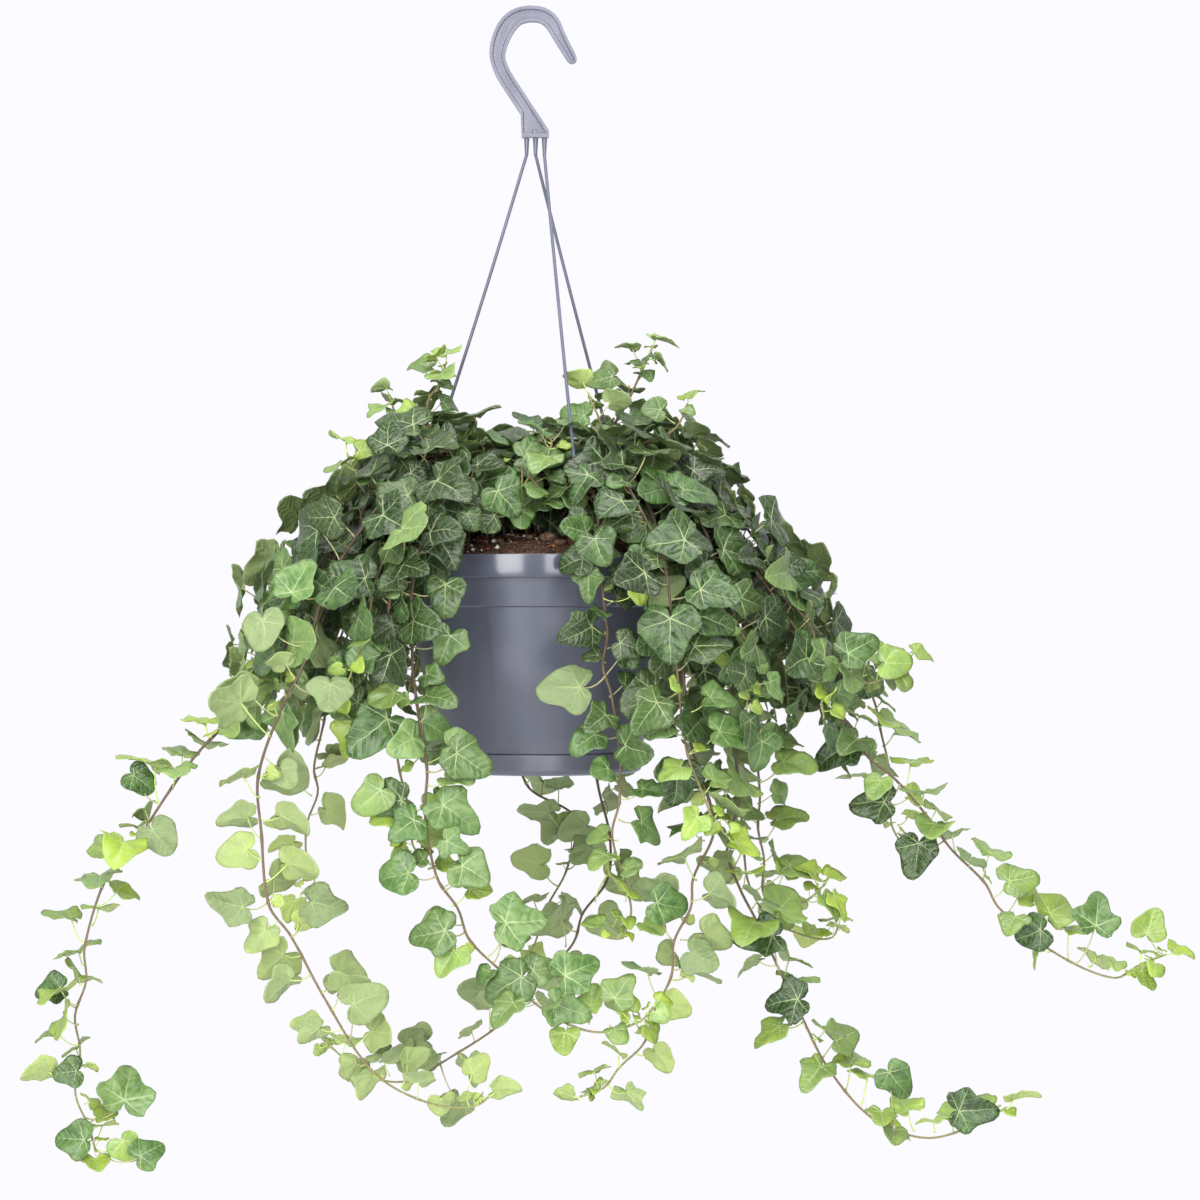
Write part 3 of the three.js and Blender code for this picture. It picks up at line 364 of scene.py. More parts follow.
def ivy_bark(name, stops, roughness):
    """Ivy shoot skin: brown and corky on old wood, purplish then green towards the tip."""
    made, tree = material(name)
    life = add(tree, "SeparateXYZ", add(tree, "Attribute", attribute_name="life").outputs["Vector"])
    place = add(tree, "TexCoord").outputs["Object"]
    speckle = add(tree, "TexNoise", place, into={"Scale": 1 / (1.6 * MM), "Detail": 3})
    shade = add(tree, "MapRange", speckle, 0.3, 0.7, -0.12, 0.12)
    shade = add(tree, "Math", shade, life.outputs[0], operation="ADD")
    colour = ramp(tree, shade, *stops)
    bump = add(tree, "Bump", into={"Height": speckle, "Strength": 0.5, "Distance": 0.3 * MM})
    shader = add(tree, "BsdfPrincipled", into={
        "Base Color": colour, "Roughness": roughness, "IOR": 1.45, "Normal": bump,
    })
    surface(tree, shader)
    return made


def crumbly(name, stops, grain_mm, roughness=0.95):
    """Loose dry matter, unglossed, with a colour that changes from crumb to crumb."""
    made, tree = material(name)
    place = add(tree, "TexCoord").outputs["Object"]
    crumbs = add(tree, "TexVoronoi", place, into={"Scale": 1 / (grain_mm * MM)})
    pick = add(tree, "SeparateXYZ", crumbs.outputs["Color"])
    fine = add(tree, "TexNoise", place, into={"Scale": 1 / (0.5 * grain_mm * MM), "Detail": 4})
    colour = ramp(tree, pick.outputs[0], *stops)
    height = add(tree, "Math", crumbs.outputs["Distance"], fine, operation="ADD")
    bump = add(tree, "Bump", into={"Height": height, "Strength": 0.7, "Distance": 0.8 * MM})
    shader = add(tree, "BsdfPrincipled", into={
        "Base Color": colour, "Roughness": roughness, "Normal": bump,
    })
    surface(tree, shader)
    return made


# Polypropylene, moulded: blue-grey, satin, its edges catching the light
hook_plastic = moulded("hook_polypropylene", "#585a68", "#656775", 0.34, 3.0, 14, 0.02)
strand_plastic = moulded("strand_polypropylene", "#4f5261", "#5a5d6c", 0.36, 3.0, 14, 0.02)
pot_plastic = moulded("pot_polypropylene", "#444753", "#4d505b", 0.34, 5.0, 60, 0.02, 0.19)
saucer_plastic = moulded("saucer_polypropylene", "#484a55", "#51545d", 0.34, 5.0, 40, 0.02)
# Sphagnum peat, milled: dark red-brown crumbs with paler orange fibres
peat = crumbly(
    "peat_milled", [(0.0, "#21150f"), (0.45, "#3d271d"), (0.8, "#5d3d2b"), (1.0, "#7f5a3a")], 1.6,
)
peat_pale = crumbly("peat_fibre", [(0.0, "#5a3320"), (0.6, "#8a5634"), (1.0, "#b98552")], 2.5)
perlite = crumbly("perlite_expanded", [(0.0, "#cfc8bd"), (0.6, "#e9e5dd"), (1.0, "#f4f2ee")], 0.8)
ivy_wood = crumbly("ivy_wood_corky", [(0.0, "#3b2a20"), (0.6, "#5c4433"), (1.0, "#7b6048")], 2.0, 0.85)
# Ivy, living: bark on the shoots, green to reddish stalks, waxy upper skins, pale undersides
ivy_stem = ivy_bark(
    "ivy_shoot_bark",
    [(0.0, "#3f3327"), (0.35, "#5a4a38"), (0.7, "#6f6244"), (0.9, "#828650"), (1.0, "#98a954")], 0.6,
)
ivy_stalk = ivy_bark(
    "ivy_leaf_stalk", [(0.0, "#8f8a62"), (0.4, "#9d9c6c"), (0.75, "#a4b56b"), (1.0, "#b3cc62")], 0.5,
)
ivy_upper = ivy_blade("ivy_leaf_upper", True)
ivy_under = ivy_blade("ivy_leaf_under", False)


# Meshes


def piece(name, points, faces, materials, kinds=None, smooth=True, nodes=(), marks=None):
    """A shown piece from points in millimetres. Kinds gives each face its material."""
    mesh = bpy.data.meshes.new(name)
    mesh.from_pydata((np.asarray(points) * MM).tolist(), [], [list(map(int, f)) for f in faces])
    for made in materials:
        mesh.materials.append(made)
    if kinds is not None:
        mesh.polygons.foreach_set("material_index", np.asarray(kinds, np.int32))
    for mark, values in (marks or {}).items():
        layer = mesh.attributes.new(mark, "FLOAT_VECTOR", "POINT")
        layer.data.foreach_set("vector", np.asarray(values, np.float32).ravel())
    mesh.polygons.foreach_set("use_smooth", [smooth] * len(mesh.polygons))
    mesh.validate()
    made = bpy.data.objects.new(name, mesh)
    bpy.context.scene.collection.objects.link(made)
    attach(made, "root")
    if nodes:
        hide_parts(*nodes)
    return made


def applied(shown, kind, **settings):
    """Puts a modifier on a piece and makes its result the piece's own mesh."""
    modifier = shown.modifiers.new(kind.lower(), kind)
    for name, value in settings.items():
        setattr(modifier, name, value)
    shape = bpy.data.meshes.new_from_object(
        shown.evaluated_get(bpy.context.evaluated_depsgraph_get()),
    )
    shown.modifiers.clear()
    shown.data = shape


def cutter(name, points, faces):
    """A closed body with outward faces, for a cut or a join alone."""
    mesh = bpy.data.meshes.new(name)
    mesh.from_pydata((np.asarray(points) * MM).tolist(), [], faces)
    made = bpy.data.objects.new(name, mesh)
    bpy.context.scene.collection.objects.link(made)
    return made


def cut(shown, tool, operation="DIFFERENCE"):
    bpy.context.view_layer.update()
    applied(shown, "BOOLEAN", object=tool, operation=operation, solver="EXACT")
    bpy.data.objects.remove(tool)


def soften(shown, width_mm, segments=3, angle=32):
    """Rounds the edges as a mould does, and keeps the flats flat."""
    applied(
        shown, "BEVEL", width=width_mm * MM, segments=segments, limit_method="ANGLE",
        angle_limit=math.radians(angle), harden_normals=False,
    )
    shown.data.polygons.foreach_set("use_smooth", [True] * len(shown.data.polygons))
    shown.data.set_sharp_from_angle(angle=math.radians(38))


def rounded(profile, radius, steps=4):
    """A turned outline whose corners are rounded by a radius, or less where it is short."""
    points = [np.array(p, float) for p in profile]
    eased = [points[0]]
    for before, corner, after in zip(points, points[1:], points[2:]):
        reach_in, reach_out = np.linalg.norm(before - corner), np.linalg.norm(after - corner)
        reach = min(radius, reach_in * 0.45, reach_out * 0.45)
        start = corner + (before - corner) / reach_in * reach
        end = corner + (after - corner) / reach_out * reach
        for step in range(steps + 1):
            t = step / steps
            eased.append(start * (1 - t) ** 2 + corner * 2 * t * (1 - t) + end * t * t)
    return [*eased, points[-1]]


def lathe(profile, sides, swell=None):
    """Points and faces of a closed outline turned round the pot's axis."""
    points, faces = [], []
    inner = profile[1:-1]
    for side in range(sides):
        turn = 2 * math.pi * side / sides
        for radius, height in inner:
            wide = radius + (swell(turn, radius, height) if swell else 0)
            points.append((POT_X + wide * math.cos(turn), wide * math.sin(turn), RIM_TOP + height))
    rows = len(inner)
    for side in range(sides):
        a, b = side * rows, (side + 1) % sides * rows
        faces += [(a + k, b + k, b + k + 1, a + k + 1) for k in range(rows - 1)]
    start, end = len(points), len(points) + 1
    points += [(POT_X, 0, RIM_TOP + profile[0][1]), (POT_X, 0, RIM_TOP + profile[-1][1])]
    for side in range(sides):
        a, b = side * rows, (side + 1) % sides * rows
        faces += [(start, b, a), (end, a + rows - 1, b + rows - 1)]
    return points, faces


def tube(path, radii, sides, level=None):
    """Rings round a path, closed at both ends by a fan."""
    path = np.asarray(path, float)
    ahead = np.gradient(path, axis=0)
    ahead /= np.linalg.norm(ahead, axis=1)[:, None]
    level = np.array(level if level is not None else (1.0, 0, 0))
    points, faces = [], []
    for here, forward, radius in zip(path, ahead, radii):
        level = level - forward * level.dot(forward)
        if np.linalg.norm(level) < 1e-6:
            level = np.cross(forward, (0.3, 0.9, 0.2))
        level = unit(level)
        above = np.cross(forward, level)
        for side in range(sides):
            turn = 2 * math.pi * side / sides
            points.append(here + level * math.cos(turn) * radius + above * math.sin(turn) * radius)
    for ring in range(len(path) - 1):
        for side in range(sides):
            a, b = ring * sides + side, ring * sides + (side + 1) % sides
            faces.append((a, b, b + sides, a + sides))
    last = (len(path) - 1) * sides
    faces.append(tuple(range(sides))[::-1])
    faces.append(tuple(range(last, last + sides)))
    return points, faces


def block(low, high):
    corners = [(x, y, z) for x in (low[0], high[0]) for y in (low[1], high[1]) for z in (low[2], high[2])]
    sides = [(0, 1, 3, 2), (4, 6, 7, 5), (0, 4, 5, 1), (2, 3, 7, 6), (0, 2, 6, 4), (1, 5, 7, 3)]
    return corners, sides


def prism_faces(count):
    """The two ends and the sides of an outline that is given a thickness."""
    faces = [tuple(range(count))[::-1], tuple(range(count, 2 * count))]
    for i in range(count):
        j = (i + 1) % count
        faces.append((i, j, j + count, i + count))
    return faces


def plate(outline, front, back):
    """A plate that stands square to the front view, between two depths."""
    points = [(x, depth, z) for depth in (front, back) for x, z in outline]
    return points, prism_faces(len(outline))


def widened(outline, by):
    """An outline that runs clockwise, with each side moved outwards."""
    corners = [np.array(p, float) for p in outline]
    moved = []
    for before, corner, after in zip(corners[-1:] + corners, corners, corners[1:] + corners[:1]):
        runs = [unit(corner - before), unit(after - corner)]
        outs = [np.array((-run[1], run[0])) for run in runs]
        moved.append(tuple(corner + (outs[0] + outs[1]) * by / (1 + outs[0].dot(outs[1]))))
    return moved


def pocket(outline, floor, mouth, draft):
    """A recess's own shape: its walls slope outwards from its floor to its mouth."""
    points = [(x, floor, z) for x, z in outline]
    points += [(x, mouth, z) for x, z in widened(outline, draft)]
    faces = prism_faces(len(outline))
    return points, faces if mouth > floor else [face[::-1] for face in faces]


def joined(*parts):
    points, faces = [], []
    for more_points, more_faces in parts:
        first = len(points)
        points += [tuple(p) for p in more_points]
        faces += [tuple(int(i) + first for i in face) for face in more_faces]
    return points, faces


class Route:
    """A smooth route through points, with its length measured along it."""

    def __init__(self, points):
        points = [np.array(p, float) for p in points]
        gaps = [np.linalg.norm(b - a) for a, b in zip(points, points[1:])]
        slopes = []
        for i in range(len(points)):
            before, after = max(i - 1, 0), min(i + 1, len(points) - 1)
            slopes.append((points[after] - points[before]) / sum(gaps[before:after]))
        track = [points[0]]
        for i, gap in enumerate(gaps):
            for step in range(1, 13):
                t = step / 12
                track.append(
                    points[i] * (2 * t**3 - 3 * t**2 + 1)
                    + slopes[i] * gap * (t**3 - 2 * t**2 + t)
                    + points[i + 1] * (3 * t**2 - 2 * t**3)
                    + slopes[i + 1] * gap * (t**3 - t**2),
                )
        self.track = np.array(track)
        self.lengths = np.concatenate(([0], np.cumsum(np.linalg.norm(np.diff(track, axis=0), axis=1))))
        self.length = self.lengths[-1]

    def at(self, distance):
        return np.array([np.interp(distance, self.lengths, self.track[:, axis]) for axis in range(3)])

    def along(self, distance):
        return unit(self.at(distance + 4) - self.at(distance - 4))


# Hook: a ribbed band swept along its bend. Each station is across, height and half the band's width.
HOOK_BEND = (
    (36.1, -34.4, 1.3), (35.6, -33.2, 3.2), (34.4, -30.6, 4.2), (28.9, -20.8, 4.9),
    (23.5, -11.1, 5.5), (18.1, -0.9, 6.4), (11.0, 4.9, 6.5), (0, 6.6, 6.6), (-10.8, 4.2, 6.9),
    (-18.9, -2.8, 7.5), (-25.0, -14.6, 7.3), (-27.6, -26.5, 6.7), (-26.3, -34.6, 6.4),
    (-21.6, -45.2, 6.3), (-6.6, -68.3, 6.2), (5.2, -86.6, 6.2),
)
HOOK_STATIONS = 72
STRAND_STATIONS = 64
# The share of the bend after which the foot takes over
BAND_END = 0.915
HOOK_FOOT = (
    (-8.9, -76.2), (1.4, -69.4), (7.9, -78.9), (15.6, -91), (15.2, FOOT_BOTTOM), (-7.4, FOOT_BOTTOM),
    (-8.3, -76.9),
)
# The recess between the band's ribs runs on into the foot, round a boss over the middle strand
FOOT_RECESS = (
    (-6.2, -73.9), (-1.6, -71), (12.2, -92.3), (6, -92.3), (6, -89.5), (1.4, -89.5), (1.4, -92.3),
    (-5.2, -92.3), (-5.5, -75),
)


def hook_section(half):
    thick, web = HOOK_THICKNESS / 2, HOOK_WEB / 2
    rib = min(HOOK_RIB, half * RIB_SHARE)
    slope = min(RIB_SLOPE, (half - rib) * 0.5)
    inner = half - rib
    side = [(half, -thick), (half, thick), (inner, thick), (inner - slope, web)]
    other = [(-a, b) for a, b in reversed(side[1:])]
    front = [(-half, -thick), (-inner, -thick), (-inner + slope, -web)]
    return [*side, *other, *front, (inner - slope, -web), (inner, -thick)]


def make_foot():
    """The hook's foot: a plate with a recess in each face and a socket for each strand's head."""
    face, web = HOOK_THICKNESS / 2, HOOK_WEB / 2
    foot = cutter("foot", *plate(HOOK_FOOT, -face, face))
    # The recess's walls slope as the band's ribs do, and run out past the faces
    rise = face - web + 1
    draft = RIB_SLOPE * rise / (face - web)
    for side in (-1, 1):
        recess = pocket(FOOT_RECESS, side * web, side * (web + rise), draft)
        cut(foot, cutter("recess", *recess))
    neck, head = STRAND_RADIUS + GAP, HEAD_WIDTH / 2 + GAP
    seat = FOOT_BOTTOM + HEAD_LIFT - GAP
    roof = seat + HEAD_HEIGHT + 2 * GAP
    for top in STRAND_TOPS:
        for half, low, high in ((neck, FOOT_BOTTOM - 1, seat + 1), (head, seat, roof)):
            socket = block((top - half, -neck, low), (top + half, face + 1, high))
            cut(foot, cutter("socket", *socket))
    return foot


def make_hook():
    bend = Route([(x, half, z) for x, z, half in HOOK_BEND])
    sections = []
    for station in range(HOOK_STATIONS):
        distance = BAND_END * bend.length * station / (HOOK_STATIONS - 1)
        x, half, z = bend.at(distance)
        ahead = bend.along(distance)
        run = unit(np.array((ahead[0], ahead[2])))
        section = hook_section(half)
        sections.append([(x + run[1] * side, depth, z - run[0] * side) for side, depth in section])
    rows = len(sections[0])
    faces = [tuple(range(rows))[::-1]]
    last = (HOOK_STATIONS - 1) * rows
    for a in range(0, last, rows):
        b = a + rows
        faces += [(a + k, a + (k + 1) % rows, b + (k + 1) % rows, b + k) for k in range(rows)]
    faces.append(tuple(range(last, last + rows)))
    hook = piece(
        "hanger_hook_moulded", np.vstack(sections), faces, [hook_plastic], nodes=["hanger_hook"],
    )
    cut(hook, make_foot(), "UNION")
    soften(hook, 0.45)


def strand_route(top, azimuth):
    """From a head in the hook's foot straight down, then bowed a little inwards to the pot's rim."""
    turn = math.radians(azimuth)
    bend = np.array((top, 0, FOOT_BOTTOM - STRAND_STRAIGHT))
    end = around_pot(RIM_RADIUS - 2.4, azimuth, RIM_TOP + 3)
    inward = np.array((-math.cos(turn), -math.sin(turn), 0))
    route = [bend + (0, 0, FOOT_BOTTOM + HEAD_LIFT + HEAD_HEIGHT / 2 - bend[2]), bend + (0, 0, 2), bend]
    for share in (0.25, 0.5, 0.75):
        route.append(bend + (end - bend) * share + inward * STRAND_BOW * 4 * share * (1 - share))
    return Route([*route, end])


def strand_clip(azimuth):
    """A tab over the rim's band, hooked under its lower edge."""
    inside, under = RIM_RADIUS + GAP, -BAND_DEPTH - GAP
    outside, grip = inside + CLIP_WALL, RIM_RADIUS - BAND_STEP + CLIP_GRIP
    outline = [
        (inside - CLIP_REACH, GAP), (inside, GAP), (inside, under), (grip, under),
        (grip, under - CLIP_HOOK), (outside, under - CLIP_HOOK), (outside, 1),
        (outside - CLIP_BEVEL, CLIP_HEIGHT), (inside - CLIP_REACH + CLIP_SLANT, CLIP_HEIGHT),
    ]
    turn = math.radians(azimuth)
    points = []
    for side in (-CLIP_WIDTH / 2, CLIP_WIDTH / 2):
        shift = np.array((side * math.sin(turn), -side * math.cos(turn), 0))
        points += [around_pot(radius, azimuth, RIM_TOP + height) + shift for radius, height in outline]
    return points, prism_faces(len(outline))


def make_strand(index):
    top, azimuth = STRAND_TOPS[index], FIRST_STRAND + 120 * index
    path = strand_route(top, azimuth)
    stations = np.linspace(0, path.length, STRAND_STATIONS)
    rod = tube([path.at(d) for d in stations], [STRAND_RADIUS] * STRAND_STATIONS, 14)
    neck_top = FOOT_BOTTOM - GAP
    heights = np.linspace(neck_top - STRAND_NECK_LENGTH, neck_top, 6)
    flare = np.linspace(STRAND_RADIUS + 0.02, STRAND_NECK, len(heights))
    neck = tube([(top, 0, z) for z in heights], flare, 18)
    head_low = FOOT_BOTTOM + HEAD_LIFT
    head = block(
        (top - HEAD_WIDTH / 2, -STRAND_RADIUS, head_low),
        (top + HEAD_WIDTH / 2, STRAND_RADIUS + 1, head_low + HEAD_HEIGHT),
    )
    points, faces = joined(rod, neck, head, strand_clip(azimuth))
    strand = piece(
        f"hanger_strand_moulded_{index + 1}", points, faces, [strand_plastic],
        nodes=[f"hanger_strand_{index + 1}"],
    )
    soften(strand, 0.3, segments=2, angle=40)


# Pot, saucer and soil are turned; each outline is radius and height from the rim's top
PANEL_FROM, PANEL_TO = math.radians(-113), math.radians(-58)
PANEL_EDGE = math.radians(0.6)
PANEL_RISE = 0.5
PANEL_FOOT = 16.0


def panel_swell(turn, radius, height):
    """A raised panel on the pot's wall, from under the ledge almost to its foot, thrice round it."""
    if not PANEL_FOOT - BODY_DEPTH < height < -LEDGE_DEPTH - 0.9 or radius < BODY_RADIUS * 0.99:
        return 0
    turn = (turn - PANEL_FROM) % math.radians(120)
    left = PANEL_TO - PANEL_FROM - turn
    return PANEL_RISE * clamped(turn / PANEL_EDGE) * clamped(left / PANEL_EDGE)


def make_pot():
    band_inside = RIM_RADIUS - POT_WALL
    wall_top = RIM_RADIUS - BAND_STEP
    shelf = -BAND_DEPTH + POT_WALL
    profile = [
        (0, -FOOT_DEPTH), (NECK_RADIUS - BEAD_CHAMFER, -FOOT_DEPTH),
        (BEAD_RADIUS, BEAD_BOTTOM - FOOT_DEPTH), (BEAD_RADIUS, BEAD_TOP - FOOT_DEPTH),
        (NECK_RADIUS, BEAD_END - FOOT_DEPTH), (NECK_RADIUS, -BODY_DEPTH - 0.2),
        (BODY_RADIUS, -BODY_DEPTH), (LEDGE_RADIUS - LEDGE_STEP, -LEDGE_DEPTH - 0.6),
        (LEDGE_RADIUS, -LEDGE_DEPTH), (wall_top, -BAND_DEPTH - 0.2),
        (RIM_RADIUS - LIP_LEAN, -BAND_DEPTH), (RIM_RADIUS, 0), (band_inside - 0.6, 0),
        (band_inside - 1, shelf), (wall_top - POT_WALL, shelf),
        (BODY_RADIUS - POT_WALL, CORNER_RISE - BODY_DEPTH),
        (NECK_RADIUS - 2, -BODY_DEPTH - 1.2), (NECK_RADIUS - 2.5, POT_FLOOR - FOOT_DEPTH),
        (0, POT_FLOOR - FOOT_DEPTH),
    ]
    profile = rounded(profile, 0.7)
    # Rings where the wall's panels begin and end
    wall = []
    for low, high in zip(profile, profile[1:]):
        wall.append(low)
        if abs(high[1] - low[1]) > 60 and high[0] > low[0]:
            foot = PANEL_FOOT - BODY_DEPTH
            for height in (foot - 0.6, foot + 0.4, -100, -70, -LEDGE_DEPTH - 1.6):
                share = (height - low[1]) / (high[1] - low[1])
                wall.append(low + (high - low) * share)
    wall.append(profile[-1])
    points, faces = lathe(wall, ROUND * 2, panel_swell)
    pot = piece("pot_moulded", points, faces, [pot_plastic], nodes=["pot"])
    bottom = RIM_TOP - FOOT_DEPTH
    for hole in range(DRAIN_HOLES):
        turn = 2 * math.pi * hole / DRAIN_HOLES
        x, y = POT_X + DRAIN_CIRCLE * math.cos(turn), DRAIN_CIRCLE * math.sin(turn)
        drill = tube([(x, y, bottom - 1), (x, y, bottom + POT_FLOOR + 1)], [DRAIN_RADIUS] * 2, 20)
        cut(pot, cutter("drain", *drill))
    pot.data.polygons.foreach_set("use_smooth", [True] * len(pot.data.polygons))
    pot.data.set_sharp_from_angle(angle=math.radians(40))


def make_saucer():
    top = -BODY_DEPTH - 0.4
    floor_top = SAUCER_FLOOR - SAUCER_DEPTH
    rib_top = -FOOT_DEPTH - GAP
    rib_inside = SAUCER_RIB - SAUCER_RIB_WIDTH
    profile = [
        (0, -SAUCER_DEPTH), (SAUCER_FOOT, -SAUCER_DEPTH),
        *((radius, height - SAUCER_DEPTH) for radius, height in SAUCER_SHOULDERS),
        (SAUCER_RADIUS, top), (SAUCER_LIP, top), (SAUCER_LIP, top - SAUCER_LIP_DEPTH),
        (SAUCER_INNER, top - SAUCER_LIP_DEPTH - 0.4), (SAUCER_INNER - 1.5, floor_top),
        (SAUCER_RIB, floor_top), (SAUCER_RIB, rib_top), (rib_inside, rib_top),
        (rib_inside, floor_top), (0, floor_top),
    ]
    points, faces = lathe(rounded(profile, 0.6), ROUND)
    saucer = piece(
        "saucer_moulded", points, faces, [saucer_plastic], nodes=["saucer"],
    )
    saucer.data.set_sharp_from_angle(angle=math.radians(40))


def soil_height(radius):
    return RIM_TOP + float(np.interp(radius, [r for r, _ in SOIL_TOP], [h for _, h in SOIL_TOP]))


def lump(centre, size, flat, keys, turn=0.0):
    """A rough crumb: a coarse ball pushed in and out, flattened and turned."""
    ball = bmesh.new()
    bmesh.ops.create_icosphere(ball, subdivisions=1, radius=1)
    points = []
    spin = np.array(((math.cos(turn), -math.sin(turn)), (math.sin(turn), math.cos(turn))))
    for i, corner in enumerate(ball.verts):
        reach = size * (0.75 + 0.5 * draw(*keys, i))
        x, y, z = corner.co
        x, y = spin @ (x * reach, y * reach * flat[0])
        points.append((centre[0] + x, centre[1] + y, centre[2] + z * reach * flat[1]))
    faces = [tuple(corner.index for corner in face.verts) for face in ball.faces]
    ball.free()
    return points, faces


SOIL_RADIUS = 115.0
SOIL_RINGS, SOIL_SIDES = 34, 120
# What lies on the peat: its key, how many, its material, its least and greatest size, and how wide
# and high it is for its length
PEAT, FIBRE, PERLITE, BARK = range(4)
LITTER = (
    (301, 900, PEAT, 0.8, 2.8, (0.8, 0.7)), (302, 420, FIBRE, 0.7, 2.4, (0.5, 0.45)),
    (303, 110, PERLITE, 0.8, 2.6, (0.9, 0.85)), (304, 70, FIBRE, 2.0, 4.5, (0.45, 0.3)),
)
# Bits of bark and old ivy wood that lie on the peat by the rim: radius, azimuth and size
BARK_BITS = ((80, -86, 9.5), (90, -79, 6.5), (72, -96, 5.5), (84, -112, 5))


def soil_bed():
    """The filling: an uneven mound of crumbs, and below it the form of the pot's inside."""
    rings = []
    for ring in range(SOIL_RINGS + 1):
        radius = SOIL_RADIUS * ring / SOIL_RINGS
        rings.append((radius, soil_height(radius), min(1, (SOIL_RADIUS - radius) / 8)))
    for depth, radius in (
        (-BAND_DEPTH - 0.8, SOIL_RADIUS), (1.6 - BODY_DEPTH, BODY_RADIUS - POT_WALL - GAP),
        (-BODY_DEPTH - 1, NECK_RADIUS - 2.8), (POT_FLOOR + GAP - FOOT_DEPTH, NECK_RADIUS - 2.8),
    ):
        rings.append((radius, RIM_TOP + depth, 0))
    points, faces = [], []
    for ring, (radius, height, rough) in enumerate(rings):
        for side in range(SOIL_SIDES):
            x, y, z = around_pot(radius, 360 * side / SOIL_SIDES, height)
            z += 2.2 * noise.noise(Vector((x, y, 3)) * 0.08) * rough
            z += 1.1 * noise.noise(Vector((x, y, 9)) * 0.35) * rough
            points.append((x, y, z))
            if ring:
                b = ring * SOIL_SIDES + side
                c = ring * SOIL_SIDES + (side + 1) % SOIL_SIDES
                faces.append((b - SOIL_SIDES, b, c, c - SOIL_SIDES))
    last = (len(rings) - 1) * SOIL_SIDES
    faces.append(tuple(range(last, last + SOIL_SIDES))[::-1])
    return points, faces


def litter():
    """Each crumb, bit of bark and fibre on the peat, with its material."""
    for key, count, kind, low, high, flat in LITTER:
        for i in range(count):
            radius, azimuth = 112 * math.sqrt(draw(key, i, 1)), 360 * draw(key, i, 2)
            size = low + (high - low) * draw(key, i, 3) ** 2
            place = around_pot(radius, azimuth, soil_height(radius) + size * flat[1] * 0.4)
            yield kind, lump(place, size, flat, (key, i, 4), 6.3 * draw(key, i, 5))
    for i, (radius, azimuth, size) in enumerate(BARK_BITS):
        place = around_pot(radius, azimuth, soil_height(radius) + size * 0.35)
        yield BARK, lump(place, size, (0.55, 0.5), (306, i), 0.4 * i)
    for i in range(150):
        radius, azimuth = 110 * math.sqrt(draw(305, i, 1)), 360 * draw(305, i, 2)
        start = around_pot(radius, azimuth, soil_height(radius) + 0.6)
        turn, reach = 6.3 * draw(305, i, 3), 4 + 9 * draw(305, i, 4)
        run = np.array((math.cos(turn), math.sin(turn), 0)) * reach
        path = [start - run * 0.5, start + (0, 0, 1.2 + draw(305, i, 5)), start + run * 0.5]
        yield FIBRE, tube(path, [0.25, 0.35, 0.2], 4)


def make_soil():
    parts = [(PEAT, soil_bed()), *litter()]
    kinds = [kind for kind, (_, faces) in parts for _ in faces]
    points, faces = joined(*(part for _, part in parts))
    piece(
        "peat_bed", points, faces, [peat, peat_pale, perlite, ivy_wood],
        kinds=kinds, nodes=["soil"],
    )


